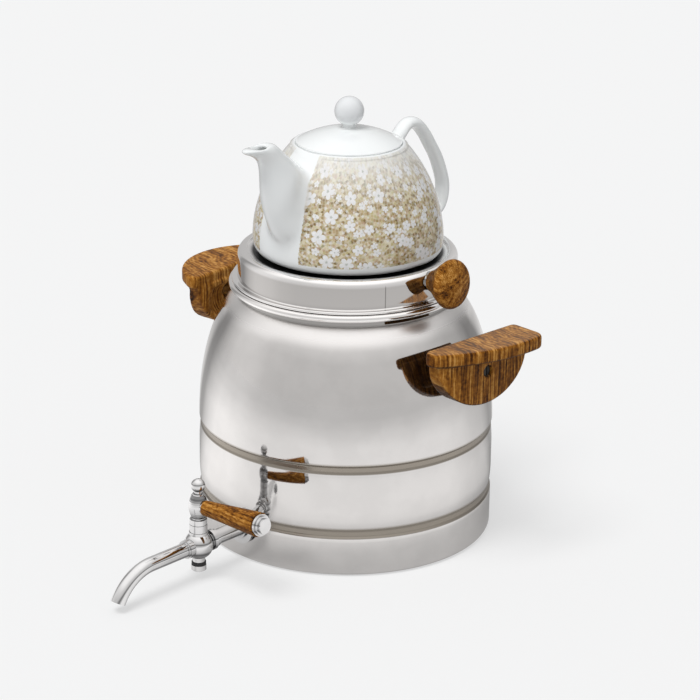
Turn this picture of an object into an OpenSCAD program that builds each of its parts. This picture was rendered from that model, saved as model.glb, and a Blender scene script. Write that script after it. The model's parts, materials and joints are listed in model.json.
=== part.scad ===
// Two-tier tea kettle: a steel water kettle with a tap, its lid, and a porcelain teapot on the lid.
// Origin: the kettle's axis at the surface it stands on. +Z up, the tap towards -Y, the side handles on X.

/* [Kettle body] */
// Outer radius of the straight lower body
body_r = 115; // [105:1:125]
// Thickness of the steel sheet of the body and lid
sheet = 0.8; // [0.6:0.1:1.2]
// Height of the straight side, up to where the dome starts
side_h = 91.5; // [85:0.5:110]
// Height of the dome, from the straight side to the neck
dome_h = 98.5; // [85:0.5:115]
// Inner radius of the kettle's mouth
mouth_r = 84.3; // [78:0.5:90]
// Height of the neck above the dome
neck_h = 7.4; // [5:0.2:12]
// Radius of the rolled bead's section
bead_r = 2.7; // [2:0.1:3.5]
// Radius of the rounded bottom corner
corner_r = 3.5; // [2.5:0.5:6]
// Height of the lower ring groove's lower edge
groove_low_z = 30.5; // [22:0.5:40]
// Distance from the upper ring groove to the start of the dome
groove_gap = 1; // [0.5:0.5:20]
// Height of each ring groove's band
groove_h = 8; // [5:0.5:9]
// Depth of each ring groove
groove_d = 1.4; // [0.6:0.1:2.5]

/* [Kettle base] */
// How far the heat-spreading disc's edge lies inside the body's radius
disc_inset = 13; // [12:0.5:30]
// Thickness of the heat-spreading disc
disc_t = 3.6; // [2:0.2:6]
// Thickness of the steel cover under the disc
cover_t = 0.6; // [0.4:0.1:1]

/* [Side handles] */
// Distance from the kettle's axis to the grip's flat outer face
grip_x = 143; // [139:0.5:150]
// Thickness of the grip, from its inner to its outer face
grip_t = 21; // [18:0.5:26]
// Half of the grip's length
grip_half = 42.5; // [35:0.5:47]
// Height of the handle's top face
handle_top_z = 182.5; // [176:0.5:186]
// Thickness of the thumb plate
plate_t = 11; // [8:0.5:13]
// How far the thumb plate overhangs the grip's outer face
plate_over = 14.5; // [8:0.5:20]
// Half of the thumb plate's length
plate_half = 48; // [44:1:60]
// How far behind the handle's middle the thumb plate is widest
plate_skew = 26; // [0:1:36]
// Overhang of the left thumb plate, which is carved rounder
left_over = 22.5; // [8:0.5:24]
// How far behind the middle the left thumb plate is widest
left_skew = 6; // [0:1:36]
// How far the front end of a handle is turned in towards the kettle, in degrees
handle_yaw = 4; // [0:0.5:6]
// Radius of the thumb plate's rounded corners
plate_corner = 8; // [5:0.5:14]
// Depth of the grip below the thumb plate
grip_drop = 37; // [32:0.5:42]
// Radius of the finger groove in the grip's inner side
finger_r = 14; // [10:0.5:15]
// Depth of the finger groove
finger_d = 8; // [4:0.5:9]
// Half of the finger groove's straight length
finger_half = 20; // [10:1:26]
// Height of the fixing screw
handle_screw_z = 160.5; // [156:0.5:163]
// Radius of the screw's counterbore in the outer face
counterbore_r = 4.5; // [4.2:0.1:6]
// Depth of the screw's counterbore
counterbore_d = 5; // [4:0.5:6]
// Radius of the metal boss between body and grip
boss_r = 7; // [5.5:0.5:9]

/* [Kettle lid] */
// Height of the lid, from its flange to its flat top
lid_h = 24.5; // [22:0.5:34]
// Height of the lid's flange
flange_h = 2.2; // [1.4:0.1:3]
// Radius of the lid's rounded shoulder
shoulder_r = 5; // [3:0.5:6]
// Radius of the recess that the teapot stands in
recess_r = 77.3; // [75.5:0.1:78]
// Depth of that recess
recess_d = 2.2; // [1.5:0.1:4]
// Radius of the steam opening in the middle of the lid
steam_r = 50; // [35:1:56]
// How far the lid's collar reaches down into the mouth
collar_drop = 13; // [9:0.5:20]

/* [Lid knob] */
// Height of the knob's root above the lid's flange
knob_z = 17.2; // [12:0.2:17.5]
// Upward tilt of the knob
knob_tilt = 6; // [0:1:10]
// Radius of the knob's neck
knob_neck_r = 8; // [7:0.5:10]
// Radius of the knob's head
knob_head_r = 18.8; // [15:0.2:22]
// Length of the knob
knob_len = 27; // [24:0.5:36]

/* [Teapot] */
// Largest radius of the teapot's body
pot_r = 73.5; // [72:0.5:74.5]
// Height of the teapot's body, from its foot to its rim
pot_h = 86; // [78:1:100]
// Thickness of the porcelain
pot_wall = 3.2; // [2.6:0.2:4]
// Radius of the teapot's lid
pot_lid_r = 40.6; // [36:0.2:43]
// Rise of the teapot lid's dome
pot_dome_h = 11; // [7:0.5:15]
// Radius of the ball knob on the teapot's lid
pot_ball_r = 11.3; // [9:0.1:13]
// Length of the teapot lid's skirt
pot_skirt = 8; // [6:0.5:12]
// Reach of the spout's tip from the teapot's axis
spout_reach = 115; // [108:1:126]
// Reach of the handle's outer side from the teapot's axis
ear_reach = 114; // [108:1:125]
// Half width of the handle's section
ear_w = 6.5; // [5:0.5:8]
// Half thickness of the handle's section
ear_t = 4.6; // [4:0.2:6]

/* [Tap] */
// Height of the tap's pipe axis
tap_z = 27.5; // [26:0.5:32]
// Distance from the kettle's axis to the valve's axis
valve_y = 162; // [158:0.5:170]
// Radius of the valve's round body
valve_r = 11.2; // [10.4:0.1:12]
// Outer radius of the threaded pipe
shank_r = 6; // [5.6:0.1:6.4]
// Radius of the water passage in the tap
water_r = 3.5; // [2.8:0.1:3.6]
// Radius of the turning plug
plug_r = 4.7; // [4.5:0.1:4.9]
// Radial running clearance of the plug and its stem
run_clear = 0.05; // [0.03:0.01:0.1]
// Radius of the tap's round flange on the kettle
rosette_r = 13; // [11.5:0.5:13.5]
// Thickness of that flange
rosette_t = 3; // [2:0.2:4]
// Thickness of the rubber gaskets
gasket_t = 1.5; // [1:0.1:2.5]
// Width across the corners of the lock nut
nut_w = 22; // [18:0.5:24]

/* [Tap spout] */
// Outer radius of the bent tube
tube_r = 5.6; // [5:0.1:6]
// Wall of the bent tube
tube_wall = 1.4; // [0.8:0.1:1.5]
// Length of the tube's straight run from the valve's axis
tube_run = 49; // [40:0.5:70]
// Radius of the tube's bend
bend_r = 38; // [34:0.5:42]
// Angle of the tube's bend
bend_deg = 62; // [50:1:64]

/* [Tap lever] */
// Height of the lever's hub
hub_h = 18; // [15:0.5:22]
// Radius of the lever's hub
hub_r = 7.4; // [7:0.1:9]
// Height of the collar under the hub
collar_h = 5.2; // [3:0.2:7]
// Radius of the ball on top of the lever
finial_r = 5.4; // [4.5:0.1:6.5]
// Distance from the valve's axis to the wooden grip's outer end
lever_len = 64; // [50:1:75]
// Upward tilt of the lever
lever_tilt = 4; // [0:1:8]
// Radius of the wooden grip at the hub
lever_r_in = 5.8; // [5:0.1:6.5]
// Radius of the wooden grip at its outer end
lever_r_out = 9.3; // [8.4:0.1:11]
// Radius of the lever's steel rod
rod_r = 2.4; // [2:0.1:2.8]

/* [Fits] */
// Gap between pieces that lift or turn apart
part_gap = 0.3; // [0.25:0.05:0.5]
// Radial gap between the lid's collar and the mouth
collar_fit = 0.4; // [0.3:0.05:0.8]
// Radial gap between the teapot's lid skirt and its mouth
skirt_fit = 0.6; // [0.4:0.1:1]

/* [Hidden] */
$fn = 96;
steel = "silver";
chrome = "lightgray";
oak = "peru";
white = "white";
rubber = "dimgray";

// Kettle body: derived sizes
groove_high_z = side_h - groove_gap - groove_h;
fold_z = 0.5;
fold_gap = 2.4;
disc_fit = 0.2;
disc_r = body_r - disc_inset;
fold_in_r = disc_r + fold_gap;
floor_z = disc_t + cover_t + disc_fit;
dome_z = side_h + dome_h;
neck_r = mouth_r + sheet;
bead_out = 1.2;
bead_x = neck_r + bead_r + bead_out;
bead_z = dome_z + neck_h;
rim_z = bead_z + bead_r;
dome_cut = 0.96;
dome_a = (body_r - neck_r) / (1 - sqrt(1 - dome_cut * dome_cut));
dome_b = dome_h / dome_cut;

// Lid: derived sizes
lid_z = rim_z + part_gap;
collar_r = mouth_r - collar_fit;
lid_r = collar_r + sheet;
lid_top = lid_z + lid_h;
seat_z = lid_top - recess_d;
shoulder_z = lid_top - shoulder_r;

// Teapot: derived sizes
pot_z = seat_z + part_gap;
pot_rim_z = pot_z + pot_h;
lip_h = 1.8;
lip_w = 3.2;
pot_mouth_r = pot_lid_r - lip_w;
base_h = 7;
base_start = 70;
base_r = min(recess_r - 9, pot_r - 5.2);
base_edge = (pot_r - 0.2 - base_r) / (1 - cos(base_start));
foot_r = base_r - 4.8;
foot_h = 2.2;
drawn_h = 86;
drawn_reach = 41.5;
ball_neck_h = 1.4;
ball_neck_r = 4.6;
ball_z = pot_rim_z + pot_dome_h + pot_ball_r + ball_neck_h;
strainer_r = 2;
strainer_gap = 8;
strainer_z = 40;
strainer_deep = 25;

// Side handles: derived sizes
grip_in_x = grip_x - grip_t;
plate_z = handle_top_z - plate_t;
end_corner = 5;
end_flat = 1.3;
soft_r = 2.4;
plate_in_x = grip_in_x + 1;
near_corner_x = plate_in_x + end_corner + end_flat;
grip_arc_y = 10;
grip_arc = 70;
finger_z = plate_z - finger_r;
boss_root = 35;
seat_x = grip_in_x + finger_d + 3;
head_x = grip_x - counterbore_d;
washer_t = 0.8;
screw_r = 2;

// Tap: derived sizes
neck_out_r = plug_r + run_clear + 0.95;
bonnet_r = neck_out_r + 1;
bonnet_z = tap_z + sqrt(pow(valve_r, 2) - pow(neck_out_r, 2));
bonnet_h = 7.4;
packing_z = bonnet_z + 3.3;
packing_h = 3;
bonnet_cap_z = packing_z + packing_h;
bonnet_top = bonnet_z + bonnet_h;
collar_z = bonnet_top + part_gap;
hub_z = collar_z + collar_h;
hub_top = hub_z + hub_h;
lever_z = hub_z + hub_h / 2;
grip_start = hub_r + 0.6;
stem_r = 3;
plug_low = tap_z - valve_r + 2.7;
plug_top = packing_z - part_gap;
stud_r = 2.5;
ball_low = tap_z - valve_r - 2;
seal_t = 2.6;
nut_t = 5;
wall_in_y = body_r - sheet;
shank_fit = 0.2;
shank_end = wall_in_y - 14;
pipe_shoulder_y = body_r + gasket_t + rosette_t;
gasket_flat_y = wall_in_y - groove_d - 1.1;
tap_washer_t = 1.5;
lock_nut_t = 6;
outlet_y = valve_y + valve_r - 0.8;
outlet_collar_t = 5;

// Rounds a list of profile points into one that follows a smooth step between two radii
function step01(t) = t * t * (3 - 2 * t);

// One ring groove, walked upwards
function groove(z0) = [
    for (i = [0:6])
        let (t = i / 6, edge = min(t, 1 - t) * 3)
        [body_r - groove_d * step01(min(edge, 1)), z0 + groove_h * t]
];

// Outside of the drum, from the middle of its floor to the start of the dome
function drum_outline() = concat(
    [[0, floor_z], [fold_in_r - 1, floor_z], [fold_in_r, floor_z - 1], [fold_in_r + 0.4, fold_z]],
    [for (a = [-90:30:0]) [body_r - corner_r + corner_r * cos(a), fold_z + corner_r + corner_r * sin(a)]],
    groove(groove_low_z),
    groove(groove_high_z),
    [[body_r, side_h]]
);

// Outside of the dome, from the drum to the neck
function dome_outline() = [
    for (i = [0:14])
        let (t = dome_cut * sin(90 * i / 14))
        [body_r - dome_a * (1 - sqrt(1 - t * t)), side_h + dome_b * t]
];

// A list of points moved to its left-hand side by d
function unit(v) = v / norm(v);
function inward(p, d) = [
    for (i = [0:len(p) - 1])
        let (
            a = p[max(i - 1, 0)],
            b = p[min(i + 1, len(p) - 1)],
            t = unit(b - a)
        )
        [max(p[i][0] - t[1] * d, 0), p[i][1] + t[0] * d]
];
function reversed(p) = [for (i = [len(p) - 1:-1:0]) p[i]];

// The neck and the rim plate that carries the bead
function neck_outline() = [
    [neck_r, dome_z + 1.5],
    [neck_r, bead_z],
    [bead_x, bead_z],
    [bead_x, bead_z + sheet],
    [mouth_r, bead_z + sheet],
    [mouth_r, dome_z + 1.5]
];

// Inside of the dome, which starts level with the drum's edge
function dome_inner() = let (q = inward(dome_outline(), sheet)) concat(
    [[body_r - sheet, side_h]],
    [for (i = [1:len(q) - 1]) q[i]]
);

// The solid space that the kettle's outside takes
module kettle_envelope() {
    rotate_extrude()
        polygon(concat(drum_outline(), dome_outline(), [[neck_r, rim_z], [0, rim_z]]));
}

// The space inside the kettle
module kettle_cavity() {
    rotate_extrude()
        polygon(concat(inward(drum_outline(), sheet), dome_inner(), [[mouth_r, rim_z], [0, rim_z]]));
}

// Drawn steel drum with two ring grooves and a hole for the tap's pipe
module kettle_body() {
    p = drum_outline();
    color(steel)
        difference() {
            rotate_extrude()
                polygon(concat(p, reversed(inward(p, sheet))));
            translate([0, 0, tap_z])
                rotate([90, 0, 0])
                    cylinder(r = shank_r + shank_fit, h = body_r + 5);
        }
}

// Drawn steel dome, welded to the drum, with a rolled bead at its mouth
module kettle_dome() {
    color(steel)
        rotate_extrude()
            union() {
                polygon(concat(dome_outline(), neck_outline(), reversed(dome_inner())));
                translate([bead_x, bead_z])
                    circle(r = bead_r);
            }
}

// Aluminium disc under the floor
module heat_disc() {
    color("gainsboro")
        translate([0, 0, cover_t])
            cylinder(r = disc_r - cover_t, h = floor_z - cover_t);
}

// Steel cover pressed round the disc, the face that the kettle stands on
module base_cover() {
    color(steel)
        difference() {
            cylinder(r = disc_r, h = floor_z - 0.3);
            translate([0, 0, cover_t])
                cylinder(r = disc_r - cover_t, h = floor_z);
        }
}

// Places its children on the right and on the left of the kettle
module both_sides() {
    for (side = [0, 1])
        mirror([side, 0, 0])
            children();
}

// A cylinder along +X from x0 to x1
module rod_x(r, x0, x1) {
    translate([x0, 0, 0])
        rotate([0, 90, 0])
            cylinder(r = r, h = x1 - x0);
}

// Steel bosses welded to the dome, one for each handle
module handle_bosses() {
    color(steel)
        both_sides()
            difference() {
                translate([0, 0, handle_screw_z])
                    difference() {
                        rod_x(boss_r, body_r - boss_root, seat_x);
                        rod_x(screw_r, body_r, seat_x + 1);
                    }
                kettle_envelope();
            }
}

// Outline of the thumb plate seen from above, drawn in by d. Its outer edge is an arc that reaches
// over beyond the grip, is widest at skew, and runs into a rounded corner at each end.
function plate_outline(d, over, skew) = let (
    near_arc_y = plate_half - plate_corner + skew,
    near_w = grip_x + over - near_corner_x,
    plate_arc = (pow(near_w, 2) + pow(near_arc_y, 2) - pow(plate_corner, 2)) / (2 * (near_w - plate_corner)),
    plate_arc_x = grip_x + over - plate_arc,
    r = plate_arc - d,
    c = plate_corner - d,
    ci = end_corner - d,
    out_y = plate_half - plate_corner,
    in_y = plate_half - end_corner,
    in_x = plate_in_x + end_corner,
    far_x = plate_arc_x + sqrt(pow(plate_arc - plate_corner, 2) - pow(out_y - skew, 2)),
    near_a = -atan2(near_arc_y, near_corner_x - plate_arc_x),
    far_a = atan2(out_y - skew, far_x - plate_arc_x)
) concat(
    [for (i = [0:6]) let (a = 180 + 90 * i / 6) [in_x + ci * cos(a), ci * sin(a) - in_y]],
    [for (i = [0:7]) let (a = -90 + (near_a + 90) * i / 8) [near_corner_x + c * cos(a), c * sin(a) - out_y]],
    [for (i = [0:18])
        let (a = near_a + (far_a - near_a) * i / 18)
        [plate_arc_x + r * cos(a), skew + r * sin(a)]],
    [for (i = [1:8]) let (a = far_a + (90 - far_a) * i / 8) [far_x + c * cos(a), out_y + c * sin(a)]],
    [for (i = [0:6]) let (a = 90 + 90 * i / 6) [in_x + ci * cos(a), in_y + ci * sin(a)]]
);

// Outline of the grip seen from its outer face, drawn in by d
function grip_outline(d) = concat(
    [[-(grip_half - d), plate_z + 2], [-(grip_half - d), plate_z - 2]],
    [for (i = [1:23])
        let (a = 180 + 180 * i / 24)
        [(grip_half - d) * cos(a), plate_z - 2 + (grip_drop - 2 - d) * sin(a)]],
    [[grip_half - d, plate_z - 2], [grip_half - d, plate_z + 2]]
);

// Skins a stack of rings with equal numbers of points, each clockwise seen along the stack
module skin(points, sides) {
    n = len(points) / sides;
    faces = concat(
        [[for (k = [sides - 1:-1:0]) k]],
        [for (i = [0:n - 2], k = [0:sides - 1])
            let (k2 = (k + 1) % sides)
            [i * sides + k, i * sides + k2, (i + 1) * sides + k2, (i + 1) * sides + k]],
        [[for (k = [0:sides - 1]) (n - 1) * sides + k]]
    );
    polyhedron(points = points, faces = faces, convexity = 6);
}

// Steps of a softened edge: how far along it goes, and how far it is drawn in there
edge_steps = [for (a = [0:30:90]) [soft_r * (1 - cos(a)), soft_r * (1 - sin(a))]];
function both_edges(low, high) = concat(
    [for (e = edge_steps) [high - e[0], e[1]]],
    [for (i = [len(edge_steps) - 1:-1:0]) [low + edge_steps[i][0], edge_steps[i][1]]]
);

module thumb_plate(over, skew) {
    skin([for (e = both_edges(plate_z, handle_top_z)) for (q = plate_outline(e[1], over, skew)) [q[0], q[1], e[0]]],
        len(plate_outline(0, over, skew)));
}

// The grip's plan: flat outside, and curved inwards towards the front end
module grip_plan() {
    polygon(concat(
        [for (i = [0:8])
            let (y = (grip_half + 1 - grip_arc_y) * i / 8)
            [grip_x - grip_arc + sqrt(pow(grip_arc, 2) - pow(y, 2)), -grip_arc_y - y]],
        [[grip_in_x - 1, -grip_half - 1], [grip_in_x - 1, grip_half + 1], [grip_x, grip_half + 1]]
    ));
}

module grip() {
    intersection() {
        skin([for (e = both_edges(grip_in_x, grip_x)) for (q = grip_outline(e[1])) [e[0], q[0], q[1]]],
            len(grip_outline(0)));
        translate([0, 0, plate_z - grip_drop - 1])
            linear_extrude(grip_drop + plate_t)
                grip_plan();
    }
}

// Rounded finger groove in the grip's inner side
module finger_groove() {
    translate([grip_in_x + finger_d - finger_r, 0, finger_z])
        rotate([90, 0, 0])
            rotate_extrude()
                intersection() {
                    union() {
                        translate([0, -finger_half])
                            square([finger_r, finger_half * 2]);
                        for (y = [-finger_half, finger_half])
                            translate([0, y])
                                circle(r = finger_r);
                    }
                    translate([0, -finger_half - finger_r])
                        square([finger_r, (finger_half + finger_r) * 2]);
                }
}

// Wooden handle: thumb plate over a half-round grip, with a finger groove on its inner side
module wooden_handle(over, skew) {
    color(oak)
        difference() {
            translate([grip_x - grip_t / 2, 0, 0])
                rotate([0, 0, -handle_yaw])
                    translate([grip_t / 2 - grip_x, 0, 0])
                        difference() {
                            union() {
                                thumb_plate(over, skew);
                                grip();
                            }
                            finger_groove();
                        }
            translate([0, 0, handle_screw_z]) {
                rod_x(boss_r + 0.2, grip_in_x - 5, seat_x);
                rod_x(screw_r + 0.2, grip_in_x, grip_x + 1);
                rod_x(counterbore_r, head_x, grip_x + 5);
            }
        }
}

module right_handle() {
    wooden_handle(plate_over, plate_skew);
}

module left_handle() {
    mirror([1, 0, 0])
        wooden_handle(left_over, left_skew);
}

// Screws that hold the handles to their bosses
module handle_screws() {
    color("gray")
        both_sides()
            translate([0, 0, handle_screw_z])
                difference() {
                    union() {
                        rod_x(screw_r, body_r + 2, head_x + 1);
                        rod_x(counterbore_r - 0.8, head_x + washer_t, head_x + washer_t + 2.6);
                    }
                    translate([head_x + 2.2, -0.5, -5])
                        cube([5, 1, 10]);
                }
}

// Washers under the screw heads
module handle_washers() {
    color("gray")
        both_sides()
            translate([0, 0, handle_screw_z])
                difference() {
                    rod_x(counterbore_r - 0.3, head_x, head_x + washer_t);
                    rod_x(screw_r, head_x - 1, head_x + washer_t + 1);
                }
}

// Outer face of the lid, from its wall over the shoulder to the steam opening
function lid_outline() = concat(
    [[lid_r, lid_z + flange_h - 0.2]],
    [for (a = [0:10:90]) [lid_r - shoulder_r + shoulder_r * cos(a), shoulder_z + shoulder_r * sin(a)]],
    [[recess_r + 0.6, lid_top], [recess_r, lid_top - 0.7], [recess_r - 0.4, seat_z], [steam_r + 1.5, seat_z]],
    [[steam_r + 0.4, seat_z - 0.5], [steam_r, seat_z - 1.6], [steam_r, seat_z - 4]]
);

module lid_solid() {
    rotate_extrude()
        polygon(concat(lid_outline(), [[0, seat_z - 4], [0, lid_z + flange_h - 0.2]]));
}

// Drawn steel lid that carries the teapot in a shallow recess
module lid_shell() {
    p = lid_outline();
    q = inward(p, sheet);
    color(steel)
        difference() {
            rotate_extrude()
                union() {
                    polygon(concat(p, reversed(q)));
                    hull() {
                        translate([collar_r, lid_z])
                            square([1, flange_h]);
                        translate([bead_x + 0.3 - flange_h / 2, lid_z + flange_h / 2])
                            circle(d = flange_h, $fn = 24);
                    }
                }
            knob_frame()
                rod_x(screw_r + 0.2, -4, 4);
        }
}

// Collar inside the lid that centres it in the kettle's mouth
module lid_collar() {
    color(steel)
        translate([0, 0, lid_z - collar_drop])
            difference() {
                cylinder(r = collar_r, h = collar_drop + flange_h + 4);
                translate([0, 0, -1])
                    cylinder(r = collar_r - sheet, h = collar_drop + flange_h + 6);
            }
}

// Frame of the lid's knob: its origin on the lid's wall, +X along the knob
module knob_frame() {
    translate([lid_r, 0, lid_z + knob_z])
        rotate([0, -knob_tilt, 0])
            children();
}
knob_start = 1.4;
knob_end = knob_start + knob_len;
edge_r = 4.5;

// Side outline of the knob along its own axis: neck, flare, rounded rim and domed face
function knob_outline() = concat(
    [[0, knob_start], [knob_neck_r - 0.6, knob_start], [knob_neck_r, knob_start + 0.6]],
    [for (i = [1:10])
        let (t = i / 10)
        [knob_neck_r + (knob_head_r - knob_neck_r - 0.8) * step01(t) * 0.6
            + (knob_head_r - knob_neck_r - 0.8) * t * 0.4,
            knob_start + 0.6 + (knob_len - 9.5) * t]],
    [for (a = [-20:20:80])
        [knob_head_r - edge_r + edge_r * cos(a), knob_end - 3.4 - edge_r + edge_r * sin(a)]],
    [for (i = [1:6]) let (t = 1 - i / 6) [(knob_head_r - edge_r) * t, knob_end - 3.4 + 3.4 * (1 - t * t)]]
);

// Wooden knob on the side of the lid
module lid_knob() {
    color(oak)
        knob_frame()
            difference() {
                rotate([0, 90, 0])
                    rotate_extrude()
                        polygon(knob_outline());
                rod_x(screw_r - 0.2, knob_start - 1, knob_start + 15);
            }
}

// Saddle washer between the knob and the lid's wall
module lid_knob_washer() {
    color(chrome)
        difference() {
            knob_frame()
                difference() {
                    rod_x(knob_neck_r - 1, -2, knob_start);
                    rod_x(screw_r + 0.2, -3, knob_start + 1);
                }
            lid_solid($fn = 360);
        }
}

// Screw driven from inside the lid into the knob
module lid_knob_screw() {
    color("gray")
        knob_frame()
            difference() {
                union() {
                    rod_x(screw_r - 0.2, -sheet - 1, knob_start + 13);
                    rod_x(3.6, -sheet - 3, -sheet - 0.4);
                }
                translate([-sheet - 4, -0.4, -4])
                    cube([1.8, 0.8, 8]);
            }
}

// Points on a smooth curve through a list of points
function curve(p, n) = [
    for (s = [0:len(p) - 2], i = [0:n - 1])
        let (
            t = i / n,
            a = p[max(s - 1, 0)],
            b = p[s],
            c = p[s + 1],
            d = p[min(s + 2, len(p) - 1)]
        )
        0.5 * (2 * b + (c - a) * t + (2 * a - 5 * b + 4 * c - d) * t * t
            + (3 * b - a - 3 * c + d) * t * t * t),
    p[len(p) - 1]
];

// A closed tube of oval rings along path, a list of [y, z, half width, half thickness]
module oval_sweep(path, sides = 24) {
    n = len(path);
    rings = [
        for (i = [0:n - 1])
            let (
                a = path[max(i - 1, 0)],
                b = path[min(i + 1, n - 1)],
                t = unit([b[0] - a[0], b[1] - a[1]]),
                c = path[i]
            )
            for (k = [0:sides - 1])
                let (w = 360 * k / sides)
                [c[2] * cos(w), c[0] - t[1] * c[3] * sin(w), c[1] + t[0] * c[3] * sin(w)]
    ];
    skin(rings, sides);
}

// Side of the teapot above its foot, as a smooth curve of [radius, height above the foot]
function bezier(p, t) = pow(1 - t, 3) * p[0] + 3 * pow(1 - t, 2) * t * p[1]
    + 3 * (1 - t) * t * t * p[2] + pow(t, 3) * p[3];
function pot_side(d) = let (
    p = [
        [pot_r - d, base_h + 3],
        [pot_r - d - 0.3, pot_h * 0.465],
        [pot_r - d - 13.5, pot_h * 0.767 - d * 0.4],
        [pot_lid_r + 4.4 - d * 0.6, pot_h - 3 - d * 0.75]
    ]
) [for (i = [0:18]) bezier(p, i / 18)];

function pot_outline() = concat(
    [[0, foot_h], [foot_r - 5, foot_h], [foot_r - 3.5, 0], [foot_r, 0]],
    [for (a = [-base_start:base_start / 5:0])
        [pot_r - 0.2 - base_edge * (1 - cos(a)), base_h + base_h * sin(a)]],
    pot_side(0),
    [[pot_lid_r + 2.6, pot_h - 0.7], [pot_lid_r + 1.4, pot_h], [pot_lid_r + 0.4, pot_h]]
);

module pot_envelope() {
    translate([0, 0, pot_z])
        rotate_extrude()
            polygon(concat(pot_outline(), [[0, pot_h]]));
}

module pot_cavity() {
    p = pot_side(pot_wall);
    translate([0, 0, pot_z])
        rotate_extrude()
            union() {
                polygon(concat(
                    [[0, pot_wall + foot_h], [foot_r, pot_wall + foot_h], [pot_r - pot_wall - 3, base_h]],
                    p,
                    [[pot_mouth_r, pot_h - 4], [pot_mouth_r, pot_h + 1], [0, pot_h + 1]]
                ));
                translate([0, pot_h - lip_h])
                    square([pot_lid_r + 0.4, lip_h + 1]);
            }
}

// Rings of the spout, from its root to its lip: [distance beyond the pot's side and height of the
// underside, the same of the top line, half width, share of the reach]. Each is drawn in by its own
// wall where the passage is cut.
function spout_rings(wall) = let (
    rise = pot_h / drawn_h,
    far = spout_reach - pot_r - drawn_reach
) curve([
    for (c = [
        [-19.5, 12, -43.5, 58, 23, 0],
        [0.5, 21, -27, 70, 21, 0.1],
        [11, 38, -17.5, 79, 18, 0.3],
        [16.8, 56, -8.5, 87, 14.5, 0.5],
        [19, 74, -0.5, 93.5, 11.3, 0.7],
        [22.5, 87, 5, 98.7, 9.6, 0.9],
        [31.5, 94.5, 7.5, 101, 9, 1],
        [40.1, 97.6, 8.5, 101.8, 9, 1],
        [41.5, 100.4, 9.5, 102.2, 8.8, 1],
        [40.3, 102.4, 11.5, 103, 8, 1]
    ])
    let (
        u = [pot_r + c[0] + far * c[5], c[1] * rise],
        t = [pot_r + c[2] + far * c[5], c[3] * rise],
        d = unit(t - u) * wall
    )
    [-(u[0] + d[0]), pot_z + u[1] + d[1], -(t[0] - d[0]), pot_z + t[1] - d[1], c[4] - wall]
], 4);

// Passage of the spout, ending in a round mouth of its own behind the lip
function passage_rings() = let (
    outer = spout_rings(pot_wall),
    last = len(outer) - 18,
    rise = pot_h / drawn_h
) concat(
    [for (i = [0:last]) outer[i]],
    [for (c = [
        [15.5, 93.5, 27, 97.5, 5.4],
        [11, 99, 23.5, 100.5, 5],
        [9.5, 110, 22.5, 110, 5.2]
    ]) [-(spout_reach - c[0]), pot_z + c[1] * rise, -(spout_reach - c[2]), pot_z + c[3] * rise, c[4]]]
);

// A closed shape through oval rings, each a list of [y, z, y, z, half width]
module ring_sweep(rings, sides = 28) {
    n = len(rings);
    points = [
        for (i = [0:n - 1])
            let (
                c = rings[i],
                m = [(c[0] + c[2]) / 2, (c[1] + c[3]) / 2],
                e = [(c[0] - c[2]) / 2, (c[1] - c[3]) / 2]
            )
            for (k = [0:sides - 1])
                let (w = 360 * k / sides)
                [c[4] * cos(w), m[0] + e[0] * sin(w), m[1] + e[1] * sin(w)]
    ];
    skin(points, sides);
}

// Middle line of the handle as [y, z, half width, half thickness]
function ear_path() = curve([
    for (c = [
        [pot_r - 23.5, 72],
        [pot_r - 15.5, 81],
        [pot_r - 7, 87],
        [pot_r + 2.5, 85.5],
        [pot_r + 12, 76.5],
        [pot_r + 20.5, 64.5],
        [ear_reach - 12, 52],
        [ear_reach - 4.5, 33],
        [ear_reach - 4.6, 20],
        [ear_reach - 10, 10.5],
        [ear_reach - 24, 8],
        [pot_r - 3.5, 14]
    ]) [c[0], pot_z + c[1] * pot_h / drawn_h, ear_w, ear_t]
], 4);

// Porcelain teapot with its spout and handle, and strainer holes at the spout's root
module teapot_body() {
    color(white)
        difference() {
            union() {
                pot_envelope();
                ring_sweep(spout_rings(0));
                oval_sweep(ear_path(), 20);
            }
            pot_cavity();
            difference() {
                ring_sweep(passage_rings());
                pot_envelope();
            }
            for (x = [-1:1], z = [0:2])
                translate([x * strainer_gap, strainer_deep - pot_r, pot_z + strainer_z + z * strainer_gap])
                    rotate([90, 0, 0])
                        cylinder(r = strainer_r, h = strainer_deep + 5);
        }
}

// Teapot lid with its ball knob and locating skirt
module teapot_lid() {
    r = pot_lid_r;
    h = pot_dome_h;
    big = (r * r + h * h) / (2 * h);
    edge = asin(r / big);
    top = [for (i = [12:-1:0]) let (a = edge * i / 12) [big * sin(a), h - big + big * cos(a)]];
    low = [for (i = [0:12])
        let (a = edge * 0.86 * i / 12)
        [(big - pot_wall) * sin(a), h - big + (big - pot_wall) * cos(a)]];
    skirt_r = pot_mouth_r - skirt_fit;
    color(white)
        translate([0, 0, pot_rim_z])
            union() {
                rotate_extrude()
                    union() {
                        polygon(concat(
                            [[r, part_gap - lip_h]],
                            top,
                            low,
                            [[skirt_r - pot_wall, part_gap - lip_h - pot_skirt],
                                [skirt_r, part_gap - lip_h - pot_skirt],
                                [skirt_r, part_gap - lip_h]]
                        ));
                        translate([0, h - ball_neck_h])
                            square([ball_neck_r, 4 * ball_neck_h]);
                    }
                translate([0, 0, ball_z - pot_rim_z])
                    sphere(r = pot_ball_r);
            }
}

// A cylinder along the tap's pipe, from y0 to y1 measured outwards from the kettle's axis
module rod_y(r, y0, y1, sides = 96) {
    translate([0, -y0, tap_z])
        rotate([90, 0, 0])
            cylinder(r = r, h = y1 - y0, $fn = sides);
}

// A cylinder on the valve's axis, from z0 to z1
module rod_z(r, z0, z1) {
    translate([0, -valve_y, z0])
        cylinder(r = r, h = z1 - z0);
}

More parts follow.
